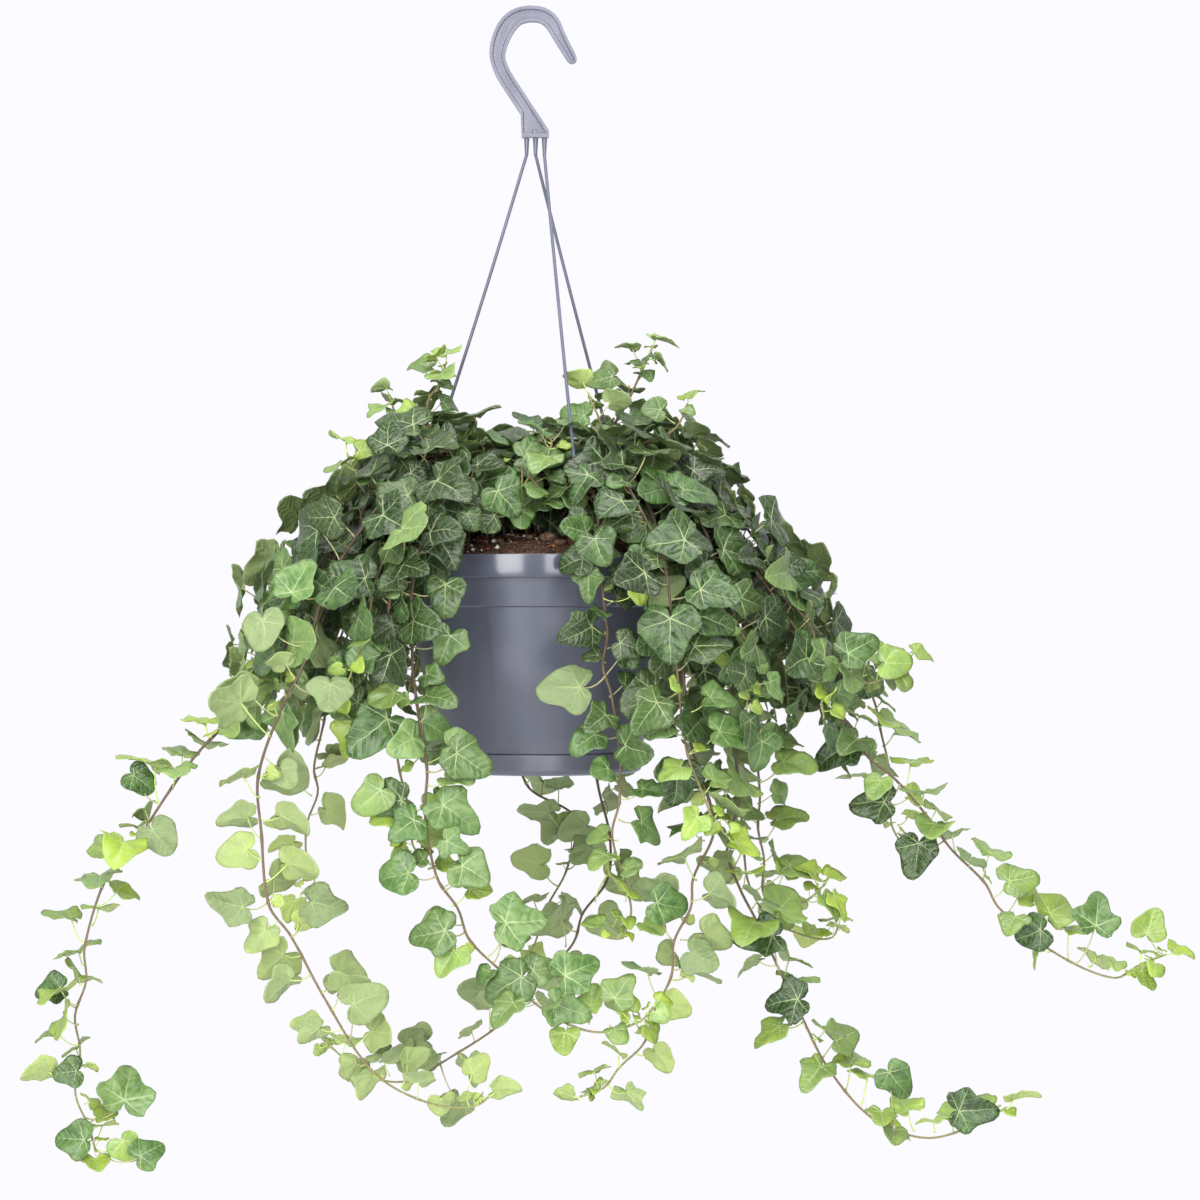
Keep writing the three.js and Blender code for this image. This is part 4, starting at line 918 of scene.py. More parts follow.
# Long stems: across, down and away as the view reads them, and where their hanging leaves look
TRAILING = (
    ("stem_far_left", (-0.1, -0.15, 1), (
        (430, 445, -15), (368, 512, -35), (320, 580, -55), (291, 662, -70), (250, 703, -75),
        (204, 746, -80), (173, 786, -80), (134, 844, -80), (108, 875, -75), (84, 947, -70),
        (86, 981, -70), (75, 1016, -70), (80, 1051, -70), (75, 1094, -70), (90, 1130, -70),
        (97, 1152, -75))),
    ("stem_left_long", (-0.2, 0.8, 0.5), (
        (440, 455, -70), (380, 505, -120), (325, 590, -140), (304, 664, -150), (280, 712, -150),
        (258, 777, -150), (261, 831, -150), (269, 905, -150), (290, 935, -150), (325, 999, -150),
        (374, 1073, -150), (432, 1104, -150), (476, 1106, -150), (490, 1096, -150))),
    ("stem_left_back", (-0.3, 0.6, 0.6), (
        (440, 450, 60), (370, 520, 90), (332, 640, 100), (325, 716, 100), (314, 768, 100),
        (318, 792, 100), (307, 824, 100), (307, 863, 100), (315, 881, 100), (300, 895, 100))),
    ("stem_pot_left", (0, -0.65, 0.7), (
        (462, 470, -90), (420, 545, -145), (411, 651, -160), (417, 705, -160), (427, 770, -160),
        (425, 813, -160), (437, 878, -160), (458, 909, -160), (469, 939, -160), (502, 972, -160),
        (544, 1010, -160), (594, 1032, -160), (639, 1022, -160), (654, 1006, -160))),
    ("stem_left_inner", (-0.2, -0.7, 0.6), (
        (445, 470, -95), (398, 560, -150), (385, 680, -150), (400, 770, -140), (411, 818, -140),
        (413, 846, -140), (428, 862, -140))),
    ("stem_under_pot", (0, 0.5, 0.8), (
        (540, 450, 105), (520, 560, 170), (508, 700, 180), (527, 785, 180), (574, 817, 180),
        (567, 869, 180), (547, 907, 180), (530, 954, 180), (508, 975, 180))),
    ("stem_pot_right", (0.1, -0.5, 0.8), (
        (592, 490, -112), (600, 570, -152), (606, 635, -152), (603, 665, -150), (611, 692, -145),
        (619, 760, -135), (619, 802, -135), (612, 835, -135), (627, 889, -135), (631, 914, -135),
        (619, 939, -135), (604, 929, -135))),
    ("stem_long_diagonal", (0, 0.75, 0.55), (
        (585, 450, 115), (600, 560, 170), (596, 700, 170), (598, 780, 165), (609, 837, 160),
        (608, 880, 145), (582, 914, 130), (572, 944, 120), (544, 974, 110), (500, 1024, 90),
        (437, 1066, 75), (413, 1080, 70), (380, 1080, 70), (352, 1065, 70), (318, 1034, 70))),
    ("stem_right_inner", (0.1, 0.5, 0.8), (
        (625, 470, -90), (662, 545, -130), (680, 640, -140), (690, 740, -140), (714, 828, -140),
        (693, 879, -140), (691, 907, -140), (674, 941, -140), (671, 976, -140), (654, 1011, -135),
        (644, 1043, -135), (619, 1068, -135), (604, 1088, -135), (579, 1097, -135))),
    ("stem_right_long", (0.2, -0.2, 1), (
        (640, 460, -50), (700, 520, -90), (725, 630, -110), (736, 757, -110), (739, 800, -110),
        (727, 850, -110), (740, 889, -110), (757, 922, -110), (783, 978, -110), (800, 1013, -110),
        (828, 1068, -110), (872, 1118, -110), (926, 1138, -110), (976, 1125, -110),
        (1008, 1106, -110))),
    ("stem_right_mid", (0.3, -0.4, 0.8), (
        (655, 458, -22), (722, 530, -34), (750, 640, -42), (755, 733, -50), (760, 796, -50),
        (758, 828, -50), (764, 859, -50), (764, 896, -50), (787, 908, -50), (810, 898, -50),
        (827, 882, -50))),
    ("stem_right_mid_back", (0.2, 0.3, 0.9), (
        (650, 452, 66), (730, 540, 60), (742, 700, 50), (745, 870, 40), (770, 922, 40),
        (788, 930, 40), (818, 939, 40), (833, 937, 40), (839, 924, 40))),
    ("stem_far_right", (0.1, -0.3, 0.9), (
        (645, 442, 0), (712, 522, -12), (770, 605, -15), (810, 658, -20), (847, 723, -20),
        (867, 756, -20), (895, 779, -20), (931, 821, -20), (951, 849, -20), (985, 883, -20),
        (999, 908, -20), (1055, 953, -20), (1114, 978, -20), (1139, 965, -20), (1168, 954, -20))),
    ("stem_right_short", (0.4, -0.5, 0.7), (
        (660, 455, -52), (742, 553, -72), (790, 620, -78), (824, 668, -78), (841, 678, -78),
        (871, 683, -78), (895, 671, -78), (908, 658, -78))),
    ("stem_right_back", (0.4, 0.1, 0.9), (
        (670, 440, 44), (772, 562, 66), (845, 655, 64), (872, 697, 50), (881, 734, 50),
        (889, 768, 50), (890, 801, 50), (892, 826, 50), (902, 845, 50))),
    ("stem_right_front", (0.2, -0.7, 0.6), (
        (615, 478, -114), (663, 560, -170), (675, 650, -175), (686, 748, -175), (703, 796, -175),
        (714, 822, -170), (730, 838, -165))),
)
SPRIGS = (
    ("sprig_left", (-0.1, -0.2, 1), (
        (458, 450, -30), (432, 435, -32), (428, 402, -32), (440, 383, -30), (446, 364, -28))),
    ("sprig_right", (0.1, -0.2, 1), (
        (606, 440, 26), (622, 412, 28), (638, 380, 28), (646, 362, 26), (652, 347, 24))),
)
CROWN_AZIMUTHS = (-42, -21, 13, 28, 60, 82, 102, 115, 129, 158, 177, 203, 211, 229)
CROWN_REACH = {"side": 256, "front": 198}
CROWN_SHARES = (0.4, 0.61, 0.81, 0.95, 1)
CROWN_HEIGHTS = (-376, -411, -458, -510, -560)
CROWN_TILT = 8
TOP_RADII = (26, 43, 62, 80, 92)
TOP_HEIGHTS = (-400, -373, -357, -356, -363)
TOP_COUNT = 7
TOP_FIRST = 18
UNDER_COUNT = 30
UNDER_FROM, UNDER_SPAN = -40, 268
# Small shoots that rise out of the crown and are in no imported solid
RISERS = (
    ("riser_left", ((448, 452, -62), (404, 486, -80), (372, 486, -84), (354, 470, -82), (346, 452, -80))),
    ("riser_left_back", ((452, 448, 20), (420, 440, 24), (400, 424, 26), (392, 404, 26), (388, 392, 26))),
    ("riser_middle", ((592, 450, -40), (600, 432, -50), (598, 418, -52), (592, 404, -52), (588, 392, -52))),
    ("riser_right", ((640, 446, -30), (662, 438, -36), (676, 428, -38), (684, 414, -38), (688, 402, -38))),
)

# Short shoots over the soil at the front, likewise
FRONT_AZIMUTHS = (236, 247, 258, 269, 280, 291, 302, 313)
FRONT_RADII = (34, 56, 78, 96, 106)
FRONT_HEIGHTS = (-398, -374, -371, -380, -394)
# Leaves that stand out in the view: their stem, the blade's middle across and down, its width in mm,
# where its tip points (degrees from straight down, over the right), its face and its age
FRONT, BACK = 1, -1
MARKED = (
    ("stem_far_left", 127, 1088, 50, 165, FRONT, 0.42), ("stem_far_left", 75, 1139, 35, -95, FRONT, 0.45),
    ("stem_far_left", 126, 1149, 29, 30, FRONT, 0.85), ("stem_far_left", 148, 1152, 30, 120, FRONT, 0.4),
    ("stem_far_left", 243, 722, 40, -60, FRONT, 0.35), ("stem_far_left", 68, 1072, 28, -80, FRONT, 0.3),
    ("stem_far_left", 52, 990, 30, -90, FRONT, 0.3), ("stem_far_left", 140, 780, 30, 60, FRONT, 0.25),
    ("stem_far_left", 160, 838, 36, 40, BACK, 0.4), ("stem_left_inner", 375, 728, 52, -50, FRONT, 0.38),
    ("stem_left_inner", 370, 658, 44, -70, FRONT, 0.32), ("stem_pot_left", 467, 760, 42, 60, FRONT, 0.42),
    ("stem_pot_left", 453, 812, 44, 50, FRONT, 0.45), ("stem_left_inner", 391, 803, 40, -75, FRONT, 0.35),
    ("stem_pot_left", 397, 875, 38, -85, FRONT, 0.38), ("stem_pot_left", 472, 871, 38, 60, FRONT, 0.48),
    ("stem_pot_left", 432, 932, 42, -85, FRONT, 0.42), ("stem_pot_left", 520, 922, 50, 100, FRONT, 0.42),
    ("stem_pot_left", 577, 970, 43, 120, FRONT, 0.5), ("stem_pot_left", 566, 1008, 38, 70, FRONT, 0.46),
    ("stem_pot_left", 621, 990, 35, 150, FRONT, 0.8), ("stem_pot_left", 510, 984, 42, -60, FRONT, 0.28),
    ("stem_right_inner", 670, 634, 52, 0, FRONT, 0.18),
    ("stem_right_inner", 643, 700, 46, -60, FRONT, 0.16),
    ("stem_right_inner", 677, 782, 42, -10, FRONT, 0.16),
    ("stem_right_inner", 672, 541, 46, -80, FRONT, 0.14),
    ("stem_right_mid", 712, 578, 38, -60, FRONT, 0.14), ("stem_right_back", 796, 692, 44, -80, FRONT, 0.18),
    ("stem_far_right", 838, 750, 42, -60, FRONT, 0.2), ("stem_far_right", 873, 803, 40, -90, FRONT, 0.2),
    ("stem_far_right", 917, 855, 40, -10, FRONT, 0.22), ("stem_far_right", 1097, 914, 43, 170, FRONT, 0.46),
    ("stem_far_right", 1150, 924, 32, 160, FRONT, 0.75), ("stem_far_right", 1032, 934, 34, -70, FRONT, 0.3),
    ("stem_right_long", 761, 938, 42, -80, FRONT, 0.2),
    ("stem_right_long", 787, 1001, 40, -85, FRONT, 0.22),
    ("stem_right_long", 972, 1110, 42, 90, FRONT, 0.32), ("stem_right_long", 896, 1080, 34, 40, FRONT, 0.3),
    ("stem_pot_right", 566, 687, 46, -95, BACK, 0.3), ("stem_pot_right", 577, 632, 32, -70, FRONT, 0.35),
    ("stem_pot_right", 574, 561, 32, -80, FRONT, 0.12), ("stem_pot_right", 598, 548, 36, 20, FRONT, 0.18),
    ("stem_pot_right", 588, 583, 28, 0, FRONT, 0.3), ("stem_pot_right", 640, 595, 19, 10, FRONT, 0.9),
    ("stem_right_inner", 663, 589, 36, 120, BACK, 0.6), ("stem_pot_left", 446, 548, 38, 30, FRONT, 0.14),
    ("stem_pot_left", 445, 595, 38, 0, FRONT, 0.2), ("stem_pot_left", 447, 645, 34, -20, FRONT, 0.4),
    ("stem_left_long", 298, 582, 42, 160, FRONT, 0.44), ("stem_left_long", 264, 631, 38, 10, BACK, 0.45),
    ("stem_left_long", 330, 694, 38, 0, BACK, 0.3), ("stem_left_long", 231, 905, 40, -90, BACK, 0.3),
    ("stem_left_long", 325, 905, 42, 80, BACK, 0.25), ("stem_left_long", 365, 1000, 40, 110, BACK, 0.3),
    ("sprig_left", 388, 436, 34, 180, FRONT, 0.15),
    ("stem_right_short", 895, 663, 34, 90, FRONT, 0.8), ("stem_right_short", 857, 648, 38, 120, FRONT, 0.4),
    ("stem_long_diagonal", 415, 1052, 44, 60, BACK, 0.35),
    ("stem_long_diagonal", 455, 1108, 34, -20, BACK, 0.4),
    ("stem_right_inner", 702, 958, 34, 60, BACK, 0.25), ("stem_right_inner", 668, 905, 38, 80, FRONT, 0.35),
    ("front_shoot_2", 452, 503, 42, 175, FRONT, 0.1),
    ("front_shoot_3", 484, 514, 34, -95, FRONT, 0.08), ("front_shoot_4", 505, 499, 38, 40, FRONT, 0.2),
    ("front_shoot_5", 530, 500, 42, -50, FRONT, 0.24), ("front_shoot_6", 560, 520, 38, 110, FRONT, 0.06),
    ("front_shoot_4", 512, 517, 24, -80, FRONT, 0.15),
    ("front_shoot_7", 604, 524, 40, 140, FRONT, 0.34), ("front_shoot_5", 536, 457, 40, 90, FRONT, 0.36),
    ("front_shoot_5", 542, 516, 24, 60, FRONT, 0.14), ("front_shoot_2", 470, 520, 22, 20, FRONT, 0.1),
)

# The share of its read width that a marked leaf's blade takes, so that its tips lie inside the reading
MARKED_SHARE = 0.9

CROWN_LEAF = {"size": 40, "vary": 7, "every": 34, "first": 66}
TRAILING_LEAF = {"size": 36, "vary": 6, "every": 50}
CROWN_LENGTH = 260
HANGS_AFTER = 120
TRAILING_ROOTS = (44, 64, 84)
SPRIG_EVERY = 20
SMALLER = {"stem_pot_left": 0.82, "stem_pot_right": 0.8}
TRIES = 9
# The gap in the leaves that soil and pot show through: its edges in the view, and its back
CLEARING = {"left": 466, "right": 557, "top": 531, "bottom": 735, "far": -70}


def in_clearing(points):
    scale = VIEW_SCALE * (VIEW_DISTANCE + points[:, 1]) / VIEW_DISTANCE
    centre = from_view(*VIEW_CENTRE, 0)
    across = VIEW_CENTRE[0] + (points[:, 0] - centre[0]) / scale
    down = VIEW_CENTRE[1] - (points[:, 2] - centre[2]) / scale
    inside = (across > CLEARING["left"]) & (across < CLEARING["right"]) & (points[:, 1] < CLEARING["far"])
    return bool((inside & (down > CLEARING["top"]) & (down < CLEARING["bottom"])).any())


def root_point(azimuth, ring):
    return around_pot(ring, azimuth, soil_height(ring))


def stem_route(root, points):
    return Route([root - (0, 0, SOIL_HOLE), root + (0, 0, 12), *points])


def read_stem(name, route, ring, **more):
    """A stem whose route was read from the view, rooted in line with where it begins."""
    points = [from_view(*p) for p in route]
    root = root_point(azimuth_of(points[0]), ring)
    return {"name": name, "route": stem_route(root, points), **more}


def arched_stem(name, azimuth, ring, radii, heights, sways, keys, **more):
    """A stem that arches out from the soil, swayed a little sideways and in height."""
    key, i = keys
    points = [
        around_pot(radius, azimuth + either(sways[0], key, i, k), height + either(sways[1], key + 1, i, k))
        for k, (radius, height) in enumerate(zip(radii, heights))
    ]
    return {"name": name, "route": stem_route(root_point(azimuth, ring), points), **more}


def crown_shoot(name, azimuth, ring, keys, share=1.0, drop=0.0):
    sideways = math.cos(math.radians(azimuth)) ** 2
    front, side = CROWN_REACH["front"], CROWN_REACH["side"]
    reach = (front + (side - front) * sideways) * share
    radii = [reach * part for part in CROWN_SHARES]
    tilt = CROWN_TILT * math.cos(math.radians(azimuth))
    heights = [high - drop * part - tilt for high, part in zip(CROWN_HEIGHTS, CROWN_SHARES)]
    return arched_stem(name, azimuth, ring, radii, heights, (3, 9), keys)


def packed_stems():
    """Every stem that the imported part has, in its order."""
    stems = []
    for index, (name, facing, route) in enumerate(TRAILING):
        stems.append(read_stem(
            name, route, TRAILING_ROOTS[index % 3], facing=unit(np.array(facing, float)),
            trailing=True, share=SMALLER.get(name, 1),
        ))
    for i, azimuth in enumerate(CROWN_AZIMUTHS):
        stems.append(crown_shoot(f"crown_shoot_{i + 1}", azimuth, 30 + 18 * (i % 3), (71, i)))
    for i in range(TOP_COUNT):
        azimuth = TOP_FIRST + i / TOP_COUNT * 360
        stems.append(arched_stem(
            f"top_shoot_{i + 1}", azimuth, 16, TOP_RADII, TOP_HEIGHTS, (4, 8), (73, i), first=48,
        ))
    for name, facing, route in SPRIGS:
        stems.append(read_stem(
            name, route, 52, facing=unit(np.array(facing, float)), first=58, sprig=True, share=0.88,
        ))
    return stems


def added_stems():
    """The shoots that stand in the scene alone: risers, front shoots, and those under the crown."""
    stems = []
    for name, route in RISERS:
        stems.append(read_stem(
            name, route, 58, facing=unit(np.array((0, -0.15, 1))), first=62, sprig=True, share=0.8,
        ))
    for i, azimuth in enumerate(FRONT_AZIMUTHS):
        stems.append(arched_stem(
            f"front_shoot_{i + 1}", azimuth, 22 + 10 * (i % 2), FRONT_RADII, FRONT_HEIGHTS, (5, 9),
            (175, i), first=44, share=0.82,
        ))
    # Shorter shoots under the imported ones, which close the crown and clear the pot's rim
    for i in range(UNDER_COUNT):
        azimuth = UNDER_FROM + UNDER_SPAN / (UNDER_COUNT - 1) * i
        least = 0.88 - 0.18 * math.cos(math.radians(azimuth)) ** 2
        share = least + (0.98 - least) * draw(400, i)
        ring = 34 + 16 * (i % 3)
        stems.append(crown_shoot(f"under_shoot_{i + 1}", azimuth, ring, (171, i), share, 14))
    return stems


def stem_stop(route, distance):
    return {"distance": distance, "joint": route.at(distance), "ahead": route.along(distance)}


def stem_stops(stem):
    """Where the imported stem's leaves stand, after its two points in the soil's hole."""
    route = stem["route"]
    stops = [stem_stop(route, distance) for distance in (0, SOIL_HOLE + 14)]
    end = route.length - 1
    distances = []
    following = stem.get("first", CROWN_LEAF["first"])
    while following < end - CROWN_LEAF["every"] / 2:
        distances.append(following)
        hanging = stem.get("trailing") and following > CROWN_LENGTH
        usual = TRAILING_LEAF["every"] if hanging else CROWN_LEAF["every"]
        following += SPRIG_EVERY if stem.get("sprig") else usual
    for distance in (*distances, end):
        stop = stem_stop(route, distance)
        sideways = unit(np.cross(stop["ahead"], UP))
        stop["joint"] = stop["joint"] + sideways * (ZIGZAG if len(stops) % 2 else -ZIGZAG)
        stops.append(stop)
    return stops


def leaf_plan(stem, keys, side, stop, scale=1.0, loose=1.0):
    """One leaf: its stalk's ends and middle, and the blade's base, axes and width."""
    joint, ahead, distance = stop["joint"], stop["ahead"], stop["distance"]
    trailing, sprig, facing = stem.get("trailing"), stem.get("sprig"), stem.get("facing")
    hanging = clamped((distance - CROWN_LENGTH) / HANGS_AFTER) if trailing else 0
    outward = unit(joint - DOME_CENTRE)
    look = facing if facing is not None and (sprig or hanging > 0) else outward
    blend = 1 if sprig else hanging
    normal = outward * (1 - blend) + look * blend
    sway = np.array((either(0.4, *keys, 1), either(0.4, *keys, 2), either(0.4, *keys, 3)))
    normal = unit(normal + sway * loose)
    across = unit(np.cross(ahead, normal)) * side
    at_tip = distance >= stem["route"].length - 1
    lean = across * (0.2 if at_tip else 0.85)
    lean = lean + normal * ((0.2 if at_tip else 0.45) + either(0.25, *keys, 4))
    lean = lean + UP * ((0 if at_tip else 0.25) + either(0.2, *keys, 5))
    lean = lean + ahead * ((1 if at_tip else 0) + either(0.35, *keys, 6))
    lean = unit(lean)
    kind = TRAILING_LEAF if hanging > 0.5 or sprig else CROWN_LEAF
    tip = distance / stem["route"].length
    young = 1 - 0.35 * tip**6 if trailing else 1 - 0.18 * tip**4
    width = (kind["size"] + either(kind["vary"], *keys, 7)) * young * stem.get("share", 1) * scale
    stalk = width * (0.5 + 0.35 * draw(*keys, 8)) * (0.5 if at_tip else 1)
    base = joint + lean * stalk
    middle = joint + lean * stalk * 0.5 - normal * stalk * STALK_SAG
    run = lean * 0.8 + UP * (-0.55 * (1 - normal[2] * 0.5))
    run = unit(run - normal * run.dot(normal))
    return {"joint": joint, "middle": middle, "base": base, "normal": normal, "run": run,
            "across": np.cross(run, normal), "width": width, "hanging": hanging, "tip": tip,
            "ahead": ahead, "keys": keys}


def marked_leaf(stem, place, width, turn, face, keys):
    """A leaf at a place in the view, its stalk led to the nearest part of its stem."""
    across, down, nearer = place
    route = stem["route"]
    steps = np.linspace(30, route.length - 2, 160)
    path = np.array([route.at(step) for step in steps])
    flat = from_view(across, down, 0)
    # Far enough along the stem for a stalk of a usual length
    gaps = np.hypot(path[:, 0] - flat[0], path[:, 2] - flat[2])
    nearest = int(np.argmin(np.abs(gaps - 0.5 * width) + 0.4 * gaps))
    joint = path[nearest]
    centre = from_view(across, down, joint[1] - 7 - nearer)
    normal = np.array((either(0.3, *keys, 1), -1, 0.3 + either(0.3, *keys, 2))) * face
    normal = unit(normal)
    tilt = math.radians(turn)
    run = np.array((math.sin(tilt), either(0.25, *keys, 3), -math.cos(tilt)))
    run = unit(run - normal * run.dot(normal))
    base = centre - run * width * 0.26
    middle = (joint + base) / 2 - UP * np.linalg.norm(joint - base) * STALK_SAG
    return {"joint": joint, "middle": middle, "base": base, "normal": normal, "run": run,
            "across": np.cross(run, normal), "width": width, "hanging": 1, "tip": 0.5,
            "ahead": route.along(steps[nearest]), "keys": keys}


# A blade's outline: how far it reaches at each angle from its tip, as shares of its width
ANGLES = (0, 9, 18, 28, 40, 52, 66, 79, 91, 104, 119, 134, 150, 166, 180)
DEEP_LOBED = (0.84, 0.785, 0.68, 0.545, 0.48, 0.50, 0.56, 0.53, 0.455, 0.39, 0.41, 0.36, 0.27, 0.15, 0.03)
FIVE_LOBED = (
    0.81, 0.775, 0.715, 0.62, 0.545, 0.515, 0.555, 0.545, 0.49, 0.435, 0.425, 0.38, 0.29, 0.17, 0.04,
)
THREE_LOBED = (0.80, 0.775, 0.73, 0.65, 0.57, 0.525, 0.53, 0.54, 0.515, 0.475, 0.42, 0.34, 0.24, 0.13, 0.04)
UNLOBED = (0.77, 0.765, 0.74, 0.69, 0.635, 0.585, 0.55, 0.53, 0.505, 0.465, 0.40, 0.32, 0.22, 0.12, 0.03)
QUILT = (0, 0.5, 0.9, 1, 1, 0.6, 0, 0.5, 0.9, 0.6, 0, 0.5, 0.6, 0.3, 0)
# Rings of points between a blade's tip and its edge, as many as its width shows
LARGE_FROM, MIDDLE_FROM = 38, 21
LARGE_RINGS = (0.36, 0.7, 0.93, 1.0)
MIDDLE_RINGS = (0.5, 0.87, 1.0)
SMALL_RINGS = (0.62, 1.0)


def blade_form(all_rings):
    """The angles all round a blade and the faces that its two sides and rim share."""
    turns = [math.radians(a) for a in ANGLES] + [-math.radians(a) for a in ANGLES[-2:0:-1]]
    pick = [*range(len(ANGLES)), *range(len(ANGLES) - 2, 0, -1)]
    count, rings = len(turns), len(all_rings)
    size = 1 + count * rings
    upper, under, rim = [], [], []
    for k in range(count):
        j = (k + 1) % count
        upper.append((0, 1 + j, 1 + k))
        under.append((size, size + 1 + k, size + 1 + j))
        for ring in range(rings - 1):
            a, b = 1 + ring * count + k, 1 + ring * count + j
            upper.append((a, b, b + count, a + count))
            under.append((size + a, size + a + count, size + b + count, size + b))
        a, b = 1 + (rings - 1) * count + k, 1 + (rings - 1) * count + j
        rim.append((a, b, size + b, size + a))
    return {"turns": np.array(turns), "pick": pick, "upper": [*upper, *rim], "under": under,
            "rings": all_rings}


LARGE_BLADE, MIDDLE_BLADE = blade_form(LARGE_RINGS), blade_form(MIDDLE_RINGS)
SMALL_BLADE = blade_form(SMALL_RINGS)


def form_of(leaf):
    if leaf["width"] > LARGE_FROM:
        return LARGE_BLADE
    return MIDDLE_BLADE if leaf["width"] > MIDDLE_FROM else SMALL_BLADE


def blade_points(leaf, age):
    """The upper and under side of a blade in space, and each point's place on it."""
    keys, width = leaf["keys"], leaf["width"]
    lobing = draw(*keys, 21)
    if width < 24:
        forms = (UNLOBED, THREE_LOBED)
    elif width < 36:
        forms = (THREE_LOBED, FIVE_LOBED) if lobing < 0.6 else (THREE_LOBED, DEEP_LOBED)
    else:
        forms = (FIVE_LOBED, DEEP_LOBED) if lobing > 0.45 else (FIVE_LOBED, THREE_LOBED)
    blend = draw(*keys, 20)
    shape = np.array(forms[0]) * (1 - blend) + np.array(forms[1]) * blend
    form = form_of(leaf)
    turns = form["turns"]
    reach = shape[form["pick"]]
    reach = reach * (1 + 0.06 * np.sin(turns * 2 + 6.3 * draw(*keys, 22)))
    reach = reach * (1 + 0.045 * np.sin(turns * 5 + 6.3 * draw(*keys, 23)))
    quilt = np.array(QUILT)[form["pick"]]
    u, v, puff, far = [0.0], [0.0], [0.0], [0.0]
    for ring in form["rings"]:
        r = reach * ring
        u += list(r * np.sin(turns))
        v += list(r * np.cos(turns))
        puff += list(quilt * math.sin(math.pi * ring) * 0.03)
        far += [ring] * len(turns)
    u, v, puff, far = map(np.array, (u, v, puff, far))
    turn = np.arctan2(u, v)
    height = BLADE_FOLD * (np.sqrt(u * u + 0.0016) - 0.04) - BLADE_DROOP * v * np.abs(v)
    height += puff
    height += either(0.3, *keys, 24) * u * u + (0.02 + either(0.3, *keys, 25)) * v * v
    wave = 0.025 + 0.045 * draw(*keys, 26)
    height += wave * far**2 * np.sin(turn * 4 + 6.3 * draw(*keys, 27))
    height += 0.024 * far * np.sin(turn * 9 + 6.3 * draw(*keys, 33))
    height += either(0.25, *keys, 34) * u * v - 0.05 * draw(*keys, 28) * np.maximum(far - 0.6, 0)
    place = (
        leaf["base"]
        + np.outer(u * width, leaf["across"])
        + np.outer(v * width, leaf["run"])
        + np.outer(height * width, leaf["normal"])
    )
    upper = place + leaf["normal"] * BLADE_THICKNESS / 2
    under = place - leaf["normal"] * BLADE_THICKNESS / 2
    marks = np.stack([u, v, np.full_like(u, draw(*keys, 35))], axis=1)
    whole = np.ones_like(u)
    life = np.stack([whole * age, whole * draw(*keys, 29), whole * leaf["width"] / 45], axis=1)
    return np.vstack([upper, under]), np.vstack([marks, marks]), np.vstack([life, life])


STEM_BARK, STALK_BARK, UPPER_SKIN, UNDER_SKIN = range(4)
STEM_SIDES, STALK_SIDES = 7, 5
STALK_STEPS = 7
STALK_RADIUS = 0.62


class Growth:
    """One leafy stem's mesh as it grows: points, faces, materials and marks."""

    def __init__(self):
        self.points, self.faces, self.kinds, self.marks, self.life = [], [], [], [], []
        self.count = 0

    def take(self, points, faces, kinds, life, marks=None):
        first = self.count
        points = np.asarray(points, float)
        self.points.append(points)
        self.faces += [tuple(i + first for i in face) for face in faces]
        self.kinds += kinds
        life = np.asarray(life, float)
        self.life.append(life if life.ndim == 2 else np.tile(life, (len(points), 1)))
        self.marks.append(np.zeros((len(points), 3)) if marks is None else marks)
        self.count += len(points)

    def blade(self, form, points, marks, life):
        upper, under = form["upper"], form["under"]
        kinds = [UPPER_SKIN] * len(upper) + [UNDER_SKIN] * len(under)
        self.take(points, [*upper, *under], kinds, life, marks)

    def finish(self, name, nodes, slot):
        return piece(
            name, np.vstack(self.points), self.faces, [ivy_stem, ivy_stalk, ivy_upper, ivy_under],
            kinds=self.kinds, nodes=nodes,
            marks={"leaf": np.vstack(self.marks), "life": np.vstack(self.life)},
        )


def grow_stem(growth, stem, stops):
    """The shoot itself: a tube that bends a little at each joint and swells there."""
    route = stem["route"]
    steps = np.arange(0, route.length, 5.0)
    steps = np.append(steps, route.length - 1)
    joints = [s["distance"] for s in stops]
    offsets = [s["joint"] - route.at(s["distance"]) for s in stops]
    path, radii, life = [], [], []
    for distance in steps:
        shift = [np.interp(distance, joints, [o[axis] for o in offsets]) for axis in range(3)]
        path.append(route.at(distance) + shift)
        share = distance / route.length
        near = min(abs(distance - j) for j in joints)
        thickness = STEM_ROOT + (STEM_TIP - STEM_ROOT) * share
        radii.append(thickness * (0.86 + 0.3 * math.exp(-((near / 4) ** 2))))
        life += [(share**1.5 * 0.9, draw(7, len(path)), 0)] * STEM_SIDES
    radii[-1] *= 0.5
    points, faces = tube(path, radii, STEM_SIDES)
    growth.take(points, faces, [STEM_BARK] * len(faces), life)


def grow_stalk(growth, leaf, age):
    """A leaf's stalk, thick where it leaves the shoot, curved up to the blade."""
    start, middle, end = leaf["joint"], leaf["middle"], leaf["base"]
    length = np.linalg.norm(end - start)
    sag = length * STALK_SAG * (1 if leaf["hanging"] > 0 else 0.3)
    control = middle * 2 - (start + end) / 2 - UP * sag
    slim = STALK_RADIUS * (leaf["width"] / 45) ** 0.4
    path, radii = [], []
    for step in range(STALK_STEPS + 1):
        t = step / STALK_STEPS
        path.append(start * (1 - t) ** 2 + control * 2 * t * (1 - t) + end * t * t)
        radii.append(slim * (1 + 0.7 * (1 - t) ** 6 + 0.25 * t**8))
    points, faces = tube(path, radii, STALK_SIDES)
    growth.take(points, faces, [STALK_BARK] * len(faces), (age, draw(*leaf["keys"], 30), 0))


